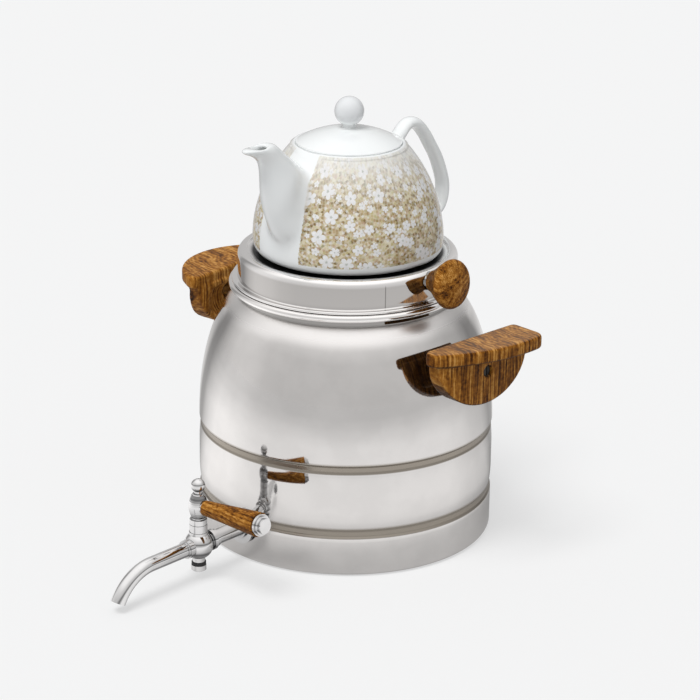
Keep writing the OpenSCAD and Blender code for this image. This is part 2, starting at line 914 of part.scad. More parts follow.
// Tap body: threaded pipe, round valve body, stem neck and outlet
module tap_body() {
    color(chrome)
        difference() {
            union() {
                translate([0, -valve_y, tap_z])
                    sphere(r = valve_r);
                rod_y(shank_r, shank_end, valve_y);
                rod_y(shank_r + 0.9, valve_y - valve_r - 6, valve_y - valve_r + 2);
                rod_y(shank_r + 2.2, valve_y - valve_r - 2.4, valve_y - valve_r + 0.6);
                rod_y(tube_r + 1.2, valve_y, outlet_y);
                rod_z(neck_out_r, tap_z, bonnet_cap_z - 0.3);
                rod_z(valve_r - 4.2, tap_z, bonnet_z);
                rod_z(stud_r + 2.4, ball_low, tap_z);
            }
            rod_y(water_r, shank_end - 1, valve_y);
            rod_y(water_r, valve_y, outlet_y + 1);
            rod_z(plug_r + run_clear, plug_low - part_gap, bonnet_cap_z + 1);
            rod_z(stud_r + run_clear, ball_low - 1, tap_z);
        }
}

// Round flange on the outside of the kettle
module tap_rosette() {
    color(chrome)
        difference() {
            union() {
                rod_y(rosette_r, body_r - 4, pipe_shoulder_y - 1);
                rod_y(shank_r + 2, body_r - 4, pipe_shoulder_y + 1);
            }
            rod_y(shank_r, body_r - 5, pipe_shoulder_y + 2);
            cylinder(r = body_r + gasket_t, h = tap_z * 4, $fn = 720);
        }
}

// Rubber gasket between the flange and the kettle
module outer_gasket() {
    color(rubber)
        difference() {
            intersection() {
                rod_y(rosette_r - 1, body_r - 6, body_r + gasket_t + 1);
                cylinder(r = body_r + gasket_t, h = tap_z * 4, $fn = 720);
            }
            kettle_envelope($fn = 360);
            rod_y(shank_r + 0.1, body_r - 8, body_r + 5);
        }
}

// Rubber gasket inside the kettle
module inner_gasket() {
    color(rubber)
        intersection() {
            difference() {
                rod_y(rosette_r - 2, gasket_flat_y, body_r);
                rod_y(shank_r + 0.1, gasket_flat_y - 1, body_r + 1);
            }
            kettle_cavity($fn = 360);
        }
}

// Steel washer between the inner gasket and the lock nut
module inner_washer() {
    color(steel)
        difference() {
            rod_y(rosette_r - 2, gasket_flat_y - tap_washer_t, gasket_flat_y);
            rod_y(shank_r + 0.1, gasket_flat_y - tap_washer_t - 1, gasket_flat_y + 1);
        }
}

// Hexagonal lock nut inside the kettle
module lock_nut() {
    low = gasket_flat_y - tap_washer_t - lock_nut_t;
    color("goldenrod")
        difference() {
            rod_y(nut_w / 2, low, low + lock_nut_t, 6);
            rod_y(shank_r, low - 1, low + lock_nut_t + 1);
        }
}

// Collar that joins the bent tube to the valve
module spout_collar() {
    color(chrome)
        difference() {
            union() {
                rod_y(tube_r + 1.6, outlet_y, outlet_y + outlet_collar_t - 1.6);
                rod_y(tube_r + 0.7, outlet_y, outlet_y + outlet_collar_t);
            }
            rod_y(tube_r, outlet_y - 1, outlet_y + outlet_collar_t + 1);
        }
}

// Tube that runs straight out and bends down to the outlet
module spout_tube() {
    bend_y = valve_y + tube_run;
    inner = tube_r - tube_wall;
    color(chrome)
        union() {
            difference() {
                rod_y(tube_r, outlet_y, bend_y);
                rod_y(inner, outlet_y - 1, bend_y + 1);
            }
            translate([0, -bend_y, tap_z - bend_r])
                rotate([0, -90, 0])
                    rotate_extrude(angle = -bend_deg)
                        translate([bend_r, 0])
                            difference() {
                                circle(r = tube_r);
                                circle(r = inner);
                            }
        }
}

// Nut that holds the packing down round the stem
module bonnet_nut() {
    color(chrome)
        difference() {
            union() {
                rod_z(bonnet_r, bonnet_z, bonnet_top);
                rod_z(bonnet_r + 0.5, bonnet_z, bonnet_z + 1.4);
            }
            rod_z(neck_out_r, bonnet_z - 1, bonnet_cap_z);
            rod_z(stem_r + run_clear, bonnet_z, bonnet_top + 1);
        }
}

// Soft ring that seals the stem
module stem_packing() {
    color(rubber)
        difference() {
            rod_z(plug_r, packing_z, bonnet_cap_z);
            rod_z(stem_r + run_clear, packing_z - 1, bonnet_cap_z + 1);
        }
}

// Turning plug with its cross passage, stem and lower stud
module tap_plug() {
    color("goldenrod")
        difference() {
            union() {
                rod_z(plug_r, plug_low, plug_top);
                rod_z(stem_r, plug_top, hub_top);
                rod_z(stem_r - 1.1, hub_top, hub_top + 4.5);
                rod_z(stud_r, ball_low - seal_t - nut_t + 1.5, plug_low);
            }
            translate([-plug_r - 1, -valve_y, tap_z])
                rotate([0, 90, 0])
                    cylinder(r = water_r - 0.7, h = plug_r * 2 + 2);
        }
}

// Collar under the lever's hub
module lever_collar() {
    color(chrome)
        difference() {
            union() {
                rod_z(bonnet_r - 0.1, collar_z, hub_z - 1.2);
                rod_z(bonnet_r - 1.4, collar_z, hub_z);
            }
            rod_z(stem_r, collar_z - 1, hub_z + 1);
        }
}

// Frame of the lever: its origin on the valve's axis, +X along the lever
module lever_frame() {
    translate([0, -valve_y, lever_z])
        rotate([0, -lever_tilt, 0])
            children();
}

// Barrel-shaped hub that carries the lever
module lever_hub() {
    r_end = hub_r - 2.2;
    side = [for (i = [0:12]) let (t = i / 12) [r_end + 2.2 * sin(180 * t), hub_h * t]];
    color(chrome)
        difference() {
            union() {
                translate([0, -valve_y, hub_z])
                    rotate_extrude()
                        polygon(concat([[0, 0]], side, [[0, hub_h]]));
                lever_frame()
                    rod_x(lever_r_in - 1, 0, grip_start);
            }
            rod_z(stem_r, hub_z - 1, hub_top + 1);
            lever_frame()
                rod_x(rod_r, stem_r - 1, grip_start + 5);
        }
}

// Steel rod through the wooden grip
module lever_rod() {
    color(chrome)
        difference() {
            lever_frame()
                rod_x(rod_r, 0, lever_len + 2);
            rod_z(stem_r, lever_z - 10, lever_z + 10);
        }
}

// Wooden grip that widens towards its outer end
module lever_grip() {
    span = lever_len - grip_start;
    side = [for (i = [0:8])
        let (t = i / 8)
        [lever_r_in + (lever_r_out - lever_r_in) * (0.75 * t + 0.25 * step01(t)), span * t]];
    color(oak)
        lever_frame()
            difference() {
                translate([grip_start, 0, 0])
                    rotate([0, 90, 0])
                        rotate_extrude()
                            polygon(concat([[0, 0]], side, [[0, span]]));
                rod_x(rod_r, grip_start - 1, lever_len + 1);
            }
}

// Stepped metal cap on the end of the grip
module grip_cap() {
    color(chrome)
        lever_frame()
            difference() {
                union() {
                    rod_x(lever_r_out - 0.9, lever_len, lever_len + 2.4);
                    rod_x(lever_r_out - 2.1, lever_len, lever_len + 4.4);
                    rod_x(lever_r_out - 3.6, lever_len, lever_len + 6.4);
                }
                rod_x(rod_r, lever_len - 1, lever_len + 2);
            }
}

// Ball that screws onto the stem over the hub
module finial() {
    ball = hub_top + 2.6 + finial_r - 0.4;
    color(chrome)
        difference() {
            union() {
                rod_z(finial_r - 1, hub_top, hub_top + 1.2);
                rod_z(stem_r, hub_top, hub_top + 3.6);
                translate([0, -valve_y, ball])
                    sphere(r = finial_r);
            }
            rod_z(stem_r - 1.1, hub_top - 1, hub_top + 4.5);
        }
}

// Rubber ring under the valve
module bottom_seal() {
    color("black")
        difference() {
            rod_z(stud_r + 3, ball_low - part_gap - seal_t, ball_low - part_gap);
            rod_z(stud_r, ball_low - part_gap - seal_t - 1, ball_low);
        }
}

// Cap nut that holds the plug from below
module bottom_nut() {
    top = ball_low - part_gap - seal_t;
    color(chrome)
        difference() {
            union() {
                rod_z(stud_r + 3.2, top - nut_t + 1, top);
                rod_z(stud_r + 1.6, top - nut_t, top);
            }
            rod_z(stud_r, ball_low - seal_t - nut_t + 1.5, top + 1);
        }
}

kettle_body();
kettle_dome();
heat_disc();
base_cover();
handle_bosses();
right_handle();
left_handle();
handle_screws();
handle_washers();
lid_shell();
lid_collar();
lid_knob();
lid_knob_washer();
lid_knob_screw();
teapot_body();
teapot_lid();
tap_body();
tap_rosette();
outer_gasket();
inner_gasket();
inner_washer();
lock_nut();
spout_collar();
spout_tube();
bonnet_nut();
stem_packing();
tap_plug();
lever_collar();
lever_hub();
lever_rod();
lever_grip();
grip_cap();
finial();
bottom_seal();
bottom_nut();
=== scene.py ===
"""Looks of the two-tier tea kettle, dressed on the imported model.

Outlines and sizes below are in millimetres, as on a drawing. They become metres where a mesh is made.
"""
import json
import math

import bmesh
import bpy
import numpy as np
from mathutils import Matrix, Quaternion, Vector
from mathutils.kdtree import KDTree


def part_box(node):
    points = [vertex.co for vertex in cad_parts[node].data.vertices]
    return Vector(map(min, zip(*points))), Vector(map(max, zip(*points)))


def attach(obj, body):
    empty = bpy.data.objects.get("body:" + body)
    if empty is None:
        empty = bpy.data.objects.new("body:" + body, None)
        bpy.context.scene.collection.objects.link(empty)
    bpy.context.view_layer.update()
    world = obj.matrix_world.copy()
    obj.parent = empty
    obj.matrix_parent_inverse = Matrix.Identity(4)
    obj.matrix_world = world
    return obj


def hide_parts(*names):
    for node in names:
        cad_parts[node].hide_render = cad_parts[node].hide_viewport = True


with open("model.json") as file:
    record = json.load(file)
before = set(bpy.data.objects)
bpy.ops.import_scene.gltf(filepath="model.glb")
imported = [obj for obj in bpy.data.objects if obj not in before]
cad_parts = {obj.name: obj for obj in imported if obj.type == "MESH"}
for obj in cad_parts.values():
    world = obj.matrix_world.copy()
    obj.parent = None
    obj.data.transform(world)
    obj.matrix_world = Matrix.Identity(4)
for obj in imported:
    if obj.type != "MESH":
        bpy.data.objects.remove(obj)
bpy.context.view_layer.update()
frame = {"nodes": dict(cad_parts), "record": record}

MM = 0.001

# Where the photograph was taken from: angles in degrees, distances in metres, and the lens and the
# sensor in millimetres
VIEW_AZIMUTH = 42.5
VIEW_ELEVATION = 20.3
VIEW_DISTANCE = 2.027
VIEW_ROLL = 0.668
VIEW_AIM = Vector((0, 0, 0.1404))
LENS = 133.7
SENSOR = 36.0
AIM_LEFT_OF_MIDDLE = 3.45
FRAME_PIXELS = 700

# How finely turned shapes are cut, how near two points of an outline may lie, and how near the
# axis counts as on it
TURNS = 256
TOUCHING = 1e-4
ON_AXIS = 1e-6

# Sizes that the boxes of the model don't give
SHEET = 0.8
CORNER_R = 3.5
FOLD_Z = 0.5
FLOOR_Z = 4.4
FOLD_IN_R = 104.4
GROOVE_LOW_Z = 30.5
GROOVE_H = 8.0
GROOVE_GAP = 1.0
GROOVE_D = 1.4
DOME_CUT = 0.96
TOP_FILLET = 1.4
BAND_TURN = 0.75
BAND_REACH = 13.0
MOUTH_R = 84.3
NECK_H = 7.4
BEAD_R = 2.7
BEAD_OUT = 1.2
FLANGE_H = 2.2
LID_SHOULDER = 5.0
RECESS_R = 77.3
RECESS_D = 2.2
RECESS_FADE = 5.0
STEAM_R = 50.0
LID_PLAY = 0.4
LID_EASE = 0.8
PART_GAP = 0.3
POT_R = 73.5
POT_H = 86.0
POT_LID_R = 40.6
TAP_Z = 27.5
TAP_HOLE_R = 6.2

# Height at which the ball of the teapot's lid starts
BALL_LOW_Z = 324.5

# Where the lid's upright seam is, in degrees from the tap towards the right handle
LID_SEAM = 62.1


def box_mm(node):
    """Lowest and highest corner of a CAD node, in millimetres."""
    lo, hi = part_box(node)
    return lo / MM, hi / MM


# Meshes

def add_object(name, mesh):
    piece = bpy.data.objects.new(name, mesh)
    bpy.context.scene.collection.objects.link(piece)
    return piece


def shade(mesh, sharp_deg=32):
    """Smooth faces, with edges left sharp where the surface turns by more than an angle."""
    bm = bmesh.new()
    bm.from_mesh(mesh)
    for face in bm.faces:
        face.smooth = True
    for edge in bm.edges:
        if len(edge.link_faces) == 2:
            edge.smooth = edge.calc_face_angle() < math.radians(sharp_deg)
    bm.to_mesh(mesh)
    bm.free()


def arc(x, z, r, start, end, steps):
    """Points on an arc about (x, z), from one angle to another in degrees."""
    points = []
    for i in range(steps + 1):
        a = math.radians(start + (end - start) * i / steps)
        points.append((x + r * math.cos(a), z + r * math.sin(a)))
    return points


def fine(points, step):
    """Adds points along straight runs, so that no run is longer than step."""
    out = [points[0]]
    for a, b in zip(points, points[1:]):
        length = math.dist(a, b)
        parts = max(1, math.ceil(length / step))
        for i in range(1, parts + 1):
            t = i / parts
            out.append((a[0] + (b[0] - a[0]) * t, a[1] + (b[1] - a[1]) * t))
    return out


def without_repeats(points):
    out = []
    for p in points:
        if not out or math.dist(p, out[-1]) > TOUCHING:
            out.append(p)
    return out


def lathe(name, outline, closed, sharp_deg=32):
    """Turns an outline of (radius, height) about the vertical axis.

    A closed outline comes back to its first point. An open one starts and ends on the axis."""
    outline = without_repeats(outline)
    if closed and math.dist(outline[0], outline[-1]) < TOUCHING:
        outline = outline[:-1]
    rings = []
    verts = []
    for r, z in outline:
        if r < ON_AXIS:
            rings.append([len(verts)] * TURNS)
            verts.append((0.0, 0.0, z * MM))
            continue
        rings.append(list(range(len(verts), len(verts) + TURNS)))
        for k in range(TURNS):
            a = 2 * math.pi * k / TURNS
            verts.append((r * math.cos(a) * MM, r * math.sin(a) * MM, z * MM))
    faces = []
    count = len(rings)
    for i in range(count if closed else count - 1):
        low = rings[i]
        high = rings[(i + 1) % count]
        for k in range(TURNS):
            after = (k + 1) % TURNS
            quad = [low[k], low[after], high[after], high[k]]
            corners = list(dict.fromkeys(quad))
            if len(corners) > 2:
                faces.append(corners)
    mesh = bpy.data.meshes.new(name)
    mesh.from_pydata(verts, [], faces)
    bm = bmesh.new()
    bm.from_mesh(mesh)
    bmesh.ops.recalc_face_normals(bm, faces=bm.faces)
    bm.to_mesh(mesh)
    bm.free()
    shade(mesh, sharp_deg)
    return add_object(name, mesh)


def apply_modifiers(piece):
    """Puts the result of a piece's modifiers into its own mesh."""
    graph = bpy.context.evaluated_depsgraph_get()
    mesh = bpy.data.meshes.new_from_object(piece.evaluated_get(graph))
    piece.modifiers.clear()
    piece.data = mesh


def cut(piece, cutter):
    """Takes the cutter's shape out of a piece, and removes the cutter."""
    change = piece.modifiers.new("cut", "BOOLEAN")
    change.operation = "DIFFERENCE"
    change.solver = "EXACT"
    change.object = cutter
    apply_modifiers(piece)
    bpy.data.objects.remove(cutter)


def copy_of(name, node):
    """A welded copy of a CAD node's mesh, to be worked into a softer piece."""
    mesh = bpy.data.meshes.new(name)
    bm = bmesh.new()
    bm.from_mesh(frame["nodes"][node].data)
    bmesh.ops.remove_doubles(bm, verts=bm.verts, dist=2e-6)
    bm.to_mesh(mesh)
    bm.free()
    return add_object(name, mesh)


def remesh(piece, voxel, steps):
    """Rebuilds a closed piece from small even faces, which rounds its edges, and evens them out."""
    change = piece.modifiers.new("voxels", "REMESH")
    change.mode = "VOXEL"
    change.voxel_size = voxel * MM
    change.use_smooth_shade = True
    soften = piece.modifiers.new("soften", "SMOOTH")
    soften.factor = 0.5
    soften.iterations = steps
    apply_modifiers(piece)
    for face in piece.data.polygons:
        face.use_smooth = True


def points_of(mesh):
    """The mesh's vertices as rows of x, y and z in metres."""
    co = np.empty(len(mesh.vertices) * 3)
    mesh.vertices.foreach_get("co", co)
    return co.reshape(-1, 3)


def set_points(mesh, co):
    mesh.vertices.foreach_set("co", co.ravel())
    mesh.update()


# Kettle, lid and teapot shapes

def smooth_step(t):
    return t * t * (3 - 2 * t)


def groove(body_r, z0, above):
    """One ring groove of the drum, walked upwards. above says on which side the middle band lies."""
    points = []
    steps = 24
    for i in range(steps + 1):
        t = i / steps
        rest = BAND_TURN if (t > 0.5) == above else 0.0
        depth = rest + (GROOVE_D - rest) * smooth_step(min(1, min(t, 1 - t) * 3))
        points.append((body_r - depth, z0 + GROOVE_H * t))
    return points


def band(body_r, low, high):
    """The drum between its grooves, which is drawn in a little next to each of them."""
    points = []
    steps = 30
    for i in range(1, steps):
        z = low + (high - low) * i / steps
        near = max(0.0, 1 - min(z - low, high - z) / BAND_REACH)
        points.append((body_r - BAND_TURN * near ** 2, z))
    return points


def inward(points, d):
    """The outline moved to its left by d."""
    out = []
    for i, p in enumerate(points):
        a = points[max(i - 1, 0)]
        b = points[min(i + 1, len(points) - 1)]
        length = math.dist(a, b)
        tx = (b[0] - a[0]) / length
        tz = (b[1] - a[1]) / length
        out.append((max(p[0] - tz * d, 0.0), p[1] + tx * d))
    return out


def kettle_outline():
    """Outside of the drum and dome, from the middle of the floor to the neck."""
    body_r = box_mm("kettle_body")[1].x
    side_h = box_mm("kettle_body")[1].z
    dome_h = box_mm("kettle_dome")[1].z - BEAD_R - NECK_H - side_h
    neck_r = MOUTH_R + SHEET
    dome_a = (body_r - neck_r) / (1 - math.sqrt(1 - DOME_CUT ** 2))
    dome_b = dome_h / DOME_CUT
    points = fine([(0, FLOOR_Z), (FOLD_IN_R - 1, FLOOR_Z)], 8)
    points += [(FOLD_IN_R, FLOOR_Z - 1), (FOLD_IN_R + 0.4, FOLD_Z)]
    points += arc(body_r - CORNER_R, FOLD_Z + CORNER_R, CORNER_R, -90, 0, 10)
    groove_high_z = side_h - GROOVE_GAP - GROOVE_H
    points += groove(body_r, GROOVE_LOW_Z, above=True)
    points += band(body_r, GROOVE_LOW_Z + GROOVE_H, groove_high_z)
    points += groove(body_r, groove_high_z, above=False)
    dome_z = side_h + dome_h
    lean = math.atan2(dome_b * math.sqrt(1 - DOME_CUT ** 2), dome_a * DOME_CUT)
    reach = TOP_FILLET * math.tan(math.pi / 4 - lean / 2)
    steps = 60
    for i in range(steps + 1):
        t = DOME_CUT * math.sin(math.pi / 2 * i / steps)
        x = body_r - dome_a * (1 - math.sqrt(1 - t * t))
        z = side_h + dome_b * t
        if math.dist((x, z), (neck_r, dome_z)) > reach:
            points.append((x, z))
    points += arc(neck_r + TOP_FILLET, dome_z + reach, TOP_FILLET, 270 - math.degrees(lean), 180, 12)
    return fine(points, 3), dome_z, dome_z + reach


def kettle_shell():
    """Drum, dome, neck and rolled bead as one drawn sheet, with the hole for the tap's pipe."""
    outer, dome_z, neck_low = kettle_outline()
    neck_r = MOUTH_R + SHEET
    bead_x = neck_r + BEAD_R + BEAD_OUT
    bead_z = dome_z + NECK_H
    plate = math.degrees(math.asin(SHEET / BEAD_R))
    neck = fine([(neck_r, neck_low + 0.2), (neck_r, bead_z - 0.6), (neck_r + 0.5, bead_z)], 2)
    bead = arc(bead_x, bead_z, BEAD_R, 180, 540 - plate, 28)
    rim_z = bead_z + SHEET
    inside = fine([(MOUTH_R + 0.3, rim_z), (MOUTH_R, rim_z - 0.3), (MOUTH_R, neck_low + 0.2)], 2)
    inner = list(reversed(inward(outer, SHEET)))
    shell = lathe("kettle_shell", outer + neck + bead + inside + inner, closed=False)
    wall_y = box_mm("kettle_body")[0].y
    bpy.ops.mesh.primitive_cylinder_add(vertices=96, radius=TAP_HOLE_R * MM, depth=0.02,
                                        location=(0, wall_y * MM, TAP_Z * MM),
                                        rotation=(math.pi / 2, 0, 0))
    cut(shell, bpy.context.object)
    shade(shell.data)
    return shell


def lid_shell():
    """Lid with a rounded flange, a wall, a soft shoulder and the recess that the teapot stands in."""
    lo, hi = box_mm("lid_shell")
    low = lo.z
    top = hi.z
    flange_r = hi.y
    collar_r = MOUTH_R - LID_PLAY
    lid_r = collar_r + SHEET
    seat = top - RECESS_D
    lip = FLANGE_H / 2
    ease = LID_EASE
    steam_low = seat - 4
    steam_out = STEAM_R + SHEET
    outline = [(collar_r, low)]
    outline += arc(flange_r - lip, low + lip, lip, -90, 90, 14)
    outline += arc(lid_r + ease, low + FLANGE_H + ease, ease, 270, 180, 6)
    outline += arc(lid_r - LID_SHOULDER, top - LID_SHOULDER, LID_SHOULDER, 0, 90, 20)
    outline += arc(RECESS_R + ease, top - ease, ease, 90, 180, 6)
    outline += arc(RECESS_R - ease, seat + ease, ease, 0, -90, 6)
    outline += arc(STEAM_R + 1, seat - 1, 1.0, 90, 180, 6)
    outline += [(STEAM_R, steam_low), (steam_out, steam_low), (steam_out, seat - 2 * SHEET)]
    outline += [(steam_out + ease, seat - SHEET), (RECESS_R - ease + SHEET, seat - SHEET)]
    outline += [(RECESS_R + SHEET, seat), (RECESS_R + SHEET + 0.6, top - SHEET)]
    outline += arc(lid_r - LID_SHOULDER, top - LID_SHOULDER, LID_SHOULDER - SHEET, 90, 0, 12)
    outline += [(collar_r, low + FLANGE_H)]
    return lathe("lid_steel", fine(outline, 2.5), closed=True)


def bezier(p, t):
    """A point of the curve with four control points."""
    s = 1 - t
    w = (s ** 3, 3 * s * s * t, 3 * s * t * t, t ** 3)
    return tuple(sum(w[k] * p[k][axis] for k in range(4)) for axis in range(2))


def pot_side():
    """Side of the teapot from its base edge to its rim, as (radius, height above its foot)."""
    controls = [(POT_R, 10), (POT_R - 0.3, POT_H * 0.465), (POT_R - 13.5, POT_H * 0.767),
                (POT_LID_R + 4.4, POT_H - 3)]
    steps = 80
    return [bezier(controls, i / steps) for i in range(steps + 1)]


def pot_radius(heights):
    """Outer radius of the teapot's body at some heights above its foot."""
    foot_r = RECESS_R - 9
    turn = 70
    wide_r = POT_R - 0.2
    wide_h = 7
    edge = (wide_r - foot_r) / (1 - math.cos(math.radians(turn)))
    steps = 20
    points = []
    for i in range(steps + 1):
        a = math.radians(-turn + turn * i / steps)
        points.append((wide_r - edge * (1 - math.cos(a)), wide_h + wide_h * math.sin(a)))
    points += pot_side()
    return np.interp(heights, [p[1] for p in points], [p[0] for p in points])


def concave_points(mesh, least_deg, least_r):
    """Middles of the mesh's inside corners that lie further than least_r from the axis."""
    bm = bmesh.new()
    bm.from_mesh(mesh)
    found = []
    for edge in bm.edges:
        if len(edge.link_faces) != 2:
            continue
        middle = (edge.verts[0].co + edge.verts[1].co) / 2
        if math.hypot(middle.x, middle.y) < least_r * MM:
            continue
        if edge.calc_face_angle_signed() < -math.radians(least_deg):
            found.append(middle.copy())
    bm.free()
    return found


def soften_near(piece, points, reach, steps):
    """Smooths a piece within reach of some points, as a fillet.

    Gives how near to them each vertex is, from 0 out of reach to 1 at a point."""
    tree = KDTree(len(points))
    for i, p in enumerate(points):
        tree.insert(p, i)
    tree.balance()
    piece.vertex_groups.clear()
    group = piece.vertex_groups.new(name="fillet")
    near = np.zeros(len(piece.data.vertices))
    for v in piece.data.vertices:
        distance = tree.find(v.co)[2] / MM
        weight = max(0.0, 1 - distance / reach)
        near[v.index] = weight
        if weight > 0:
            group.add([v.index], smooth_step(weight), "REPLACE")
    change = piece.modifiers.new("fillet", "SMOOTH")
    change.factor = 0.5
    change.iterations = steps
    change.vertex_group = "fillet"
    apply_modifiers(piece)
    return near


# How far from the turned side a vertex is still drawn onto it, and how far out and in from it the
# print reaches and fades
SIDE_REACH = 0.9
PRINT_OUT = 5.5
PRINT_OUT_FADE = 2.5
PRINT_IN = 2.4
PRINT_IN_FADE = 0.8


def true_side(piece, near):
    """Sets the body's own vertices on its exact turned side, and marks where the print may lie."""
    mesh = piece.data
    co = points_of(mesh)
    r = np.hypot(co[:, 0], co[:, 1]) / MM
    h = co[:, 2] / MM - box_mm("teapot_body")[0].z
    want = pot_radius(h)
    on_side = (np.abs(r - want) < SIDE_REACH) & (h > 1) & (h < POT_H - 2)
    pull = np.where(on_side, np.clip(1 - near * 3, 0, 1), 0)
    scale = 1 + (want / np.maximum(r, 1) - 1) * pull
    co[:, 0] *= scale
    co[:, 1] *= scale
    set_points(mesh, co)
    outwards = np.clip((PRINT_OUT - np.abs(r - want)) / PRINT_OUT_FADE, 0, 1)
    inwards = np.clip((r - want + PRINT_IN) / PRINT_IN_FADE, 0, 1)
    on_print = np.where((h > 1) & (h < POT_H + 0.1), outwards * inwards, 0)
    printed = mesh.attributes.new("printed", "FLOAT", "POINT")
    printed.data.foreach_set("value", on_print.astype(np.float32))


# Where the spout's root is drawn in: from a height above the foot, within angles from its middle,
# and up to a distance from the body
SPOUT_SLIM = 0.12
SPOUT_SLIM_LOW = 26
SPOUT_SLIM_RISE = 22
SPOUT_SLIM_DEG = 12
SPOUT_SLIM_FADE_DEG = 28
SPOUT_FRONT_DEG = 45
SPOUT_SLIM_OUT = 10
SPOUT_SLIM_OUT_FADE = 16


def narrowed(angle, height):
    """Angle from the spout's middle, drawn in towards it where the spout leaves the body."""
    share = SPOUT_SLIM * smooth_step(np.clip((height - SPOUT_SLIM_LOW) / SPOUT_SLIM_RISE, 0, 1))
    aside = smooth_step(np.clip((np.abs(angle) - SPOUT_SLIM_DEG) / SPOUT_SLIM_FADE_DEG, 0, 1))
    return angle * (1 - share * (1 - aside))


def slim_spout(piece):
    """Makes the spout's root slimmer. The tip and the rest of the body keep their shape."""
    co = points_of(piece.data)
    r = np.hypot(co[:, 0], co[:, 1])
    h = co[:, 2] / MM - box_mm("teapot_body")[0].z
    angle = np.degrees(np.arctan2(co[:, 0], -co[:, 1]))
    past_body = r / MM - pot_radius(h)
    keep = smooth_step(np.clip((past_body - SPOUT_SLIM_OUT) / SPOUT_SLIM_OUT_FADE, 0, 1))
    turned = np.radians(narrowed(angle, h) * (1 - keep) + angle * keep)
    front = (np.abs(angle) < SPOUT_FRONT_DEG) & (h < POT_H + 2)
    co[:, 0] = np.where(front, r * np.sin(turned), co[:, 0])
    co[:, 1] = np.where(front, -r * np.cos(turned), co[:, 1])
    set_points(piece.data, co)


def teapot():
    """Porcelain body, spout and handle as one softened form."""
    piece = copy_of("teapot_porcelain", "teapot_body")
    corners = concave_points(piece.data, 12, POT_LID_R + 3.4)
    remesh(piece, 0.9, 4)
    spout_root = [p for p in corners if p.y < 0]
    handle_roots = [p for p in corners if p.y > 0]
    near = soften_near(piece, spout_root, 20, 260)
    near = np.maximum(near, soften_near(piece, handle_roots, 9, 50))
    true_side(piece, near)
    slim_spout(piece)
    return piece


def teapot_lid():
    """Domed lid with its ball knob on a short flared neck."""
    lo, hi = box_mm("teapot_lid")
    rim = box_mm("teapot_body")[0].z + POT_H
    r = POT_LID_R
    rise = 11.0
    ball_r = 11.3
    ball_z = hi.z - ball_r
    big = (r * r + rise * rise) / (2 * rise)
    edge = math.degrees(math.asin(r / big))
    neck_r = 5.0
    flare = 3.2
    wall = 3.2
    skirt_r = POT_LID_R - wall - 0.6
    seat = rim + PART_GAP - 1.8
    neck_low = rim + rise - 0.6
    neck_top = ball_z - math.sqrt(ball_r ** 2 - neck_r ** 2)
    flare_a = math.degrees(math.asin((neck_r + flare) / big))
    outline = [(0, hi.z)]
    outline += arc(0, ball_z, ball_r, 90, -math.degrees(math.acos(neck_r / ball_r)), 40)
    outline += arc(neck_r + 1.2, neck_top - 1.0, 1.2, 150, 200, 4)
    outline += [(neck_r + 0.3, neck_low + 0.9), (neck_r + 1.2, neck_low + 0.2)]
    outline += arc(0, rim + rise - big, big, 90 - flare_a, 90 - edge + 0.6, 40)
    outline += arc(r - 0.9, rim + 0.1, 0.9, 30, -60, 6)
    outline += [(r - 0.4, seat + 0.3), (r - 0.8, seat), (skirt_r + 0.4, seat), (skirt_r, seat - 0.4)]
    outline += [(skirt_r, seat - 7.6), (skirt_r - 0.4, seat - 8), (skirt_r - wall + 0.4, seat - 8)]
    outline += [(skirt_r - wall, seat - 7.6)]
    outline += list(reversed(arc(0, rim + rise - big, big - wall, 90, 90 - edge * 0.8, 24)))
    outline = fine(without_repeats(outline), 2.5)
    return lathe("teapot_lid_porcelain", outline, closed=False, sharp_deg=50)


# Materials

class Graph:
    """Adds nodes to one node tree.

    A socket is fed with a number, a colour or another node's output."""

    def __init__(self, tree):
        self.tree = tree
        tree.nodes.clear()

    def add(self, kind, sockets=None, **settings):
        node = self.tree.nodes.new("ShaderNode" + kind)
        for key, value in settings.items():
            setattr(node, key, value)
        for key, value in (sockets or {}).items():
            self.feed(node.inputs[key], value)
        return node

    def feed(self, socket, value):
        if isinstance(value, bpy.types.NodeSocket):
            self.tree.links.new(value, socket)
        else:
            socket.default_value = value

    def math(self, operation, a, b=0.0, clamp=False):
        node = self.add("Math", operation=operation, use_clamp=clamp)
        self.feed(node.inputs[0], a)
        self.feed(node.inputs[1], b)
        return node.outputs[0]

    def product(self, first, *others):
        for other in others:
            first = self.math("MULTIPLY", first, other)
        return first

    def axes(self, vector):
        """The three parts of a vector."""
        return self.add("SeparateXYZ", {"Vector": vector}).outputs

    def mix(self, factor, a, b):
        node = self.add("Mix", data_type="RGBA")
        self.feed(node.inputs["Factor"], factor)
        self.feed(node.inputs[6], a)
        self.feed(node.inputs[7], b)
        return node.outputs[2]

    def span(self, value, low, high, to_low=0.0, to_high=1.0):
        """to_low at low and to_high at high, with a soft step between them."""
        ends = {"Value": value, "From Min": low, "From Max": high, "To Min": to_low, "To Max": to_high}
        return self.add("MapRange", ends, interpolation_type="SMOOTHSTEP").outputs[0]

    def ramp(self, value, stops):
        """stops is a list of (place, colour)."""
        node = self.add("ValToRGB", {"Fac": value})
        row = node.color_ramp.elements
        while len(row) < len(stops):
            row.new(0.5)
        for element, (place, colour) in zip(row, stops):
            element.position = place
            element.color = colour
        return node.outputs["Color"]

    def noise(self, vector, scale, detail=3.0, rough=0.5, distortion=0.0):
        node = self.add("TexNoise", {"Vector": vector, "Scale": scale, "Detail": detail,
                                     "Roughness": rough, "Distortion": distortion})
        return node.outputs["Fac"]


def grey(v):
    return (v, v, v, 1)


def red_share(g, colour):
    """The red share of a colour, which is the brightness of a grey one."""
    return g.add("SeparateColor", {"Color": colour}).outputs[0]


def new_material(name):
    material = bpy.data.materials.new(name)
    material.use_nodes = True
    graph = Graph(material.node_tree)
    return material, graph


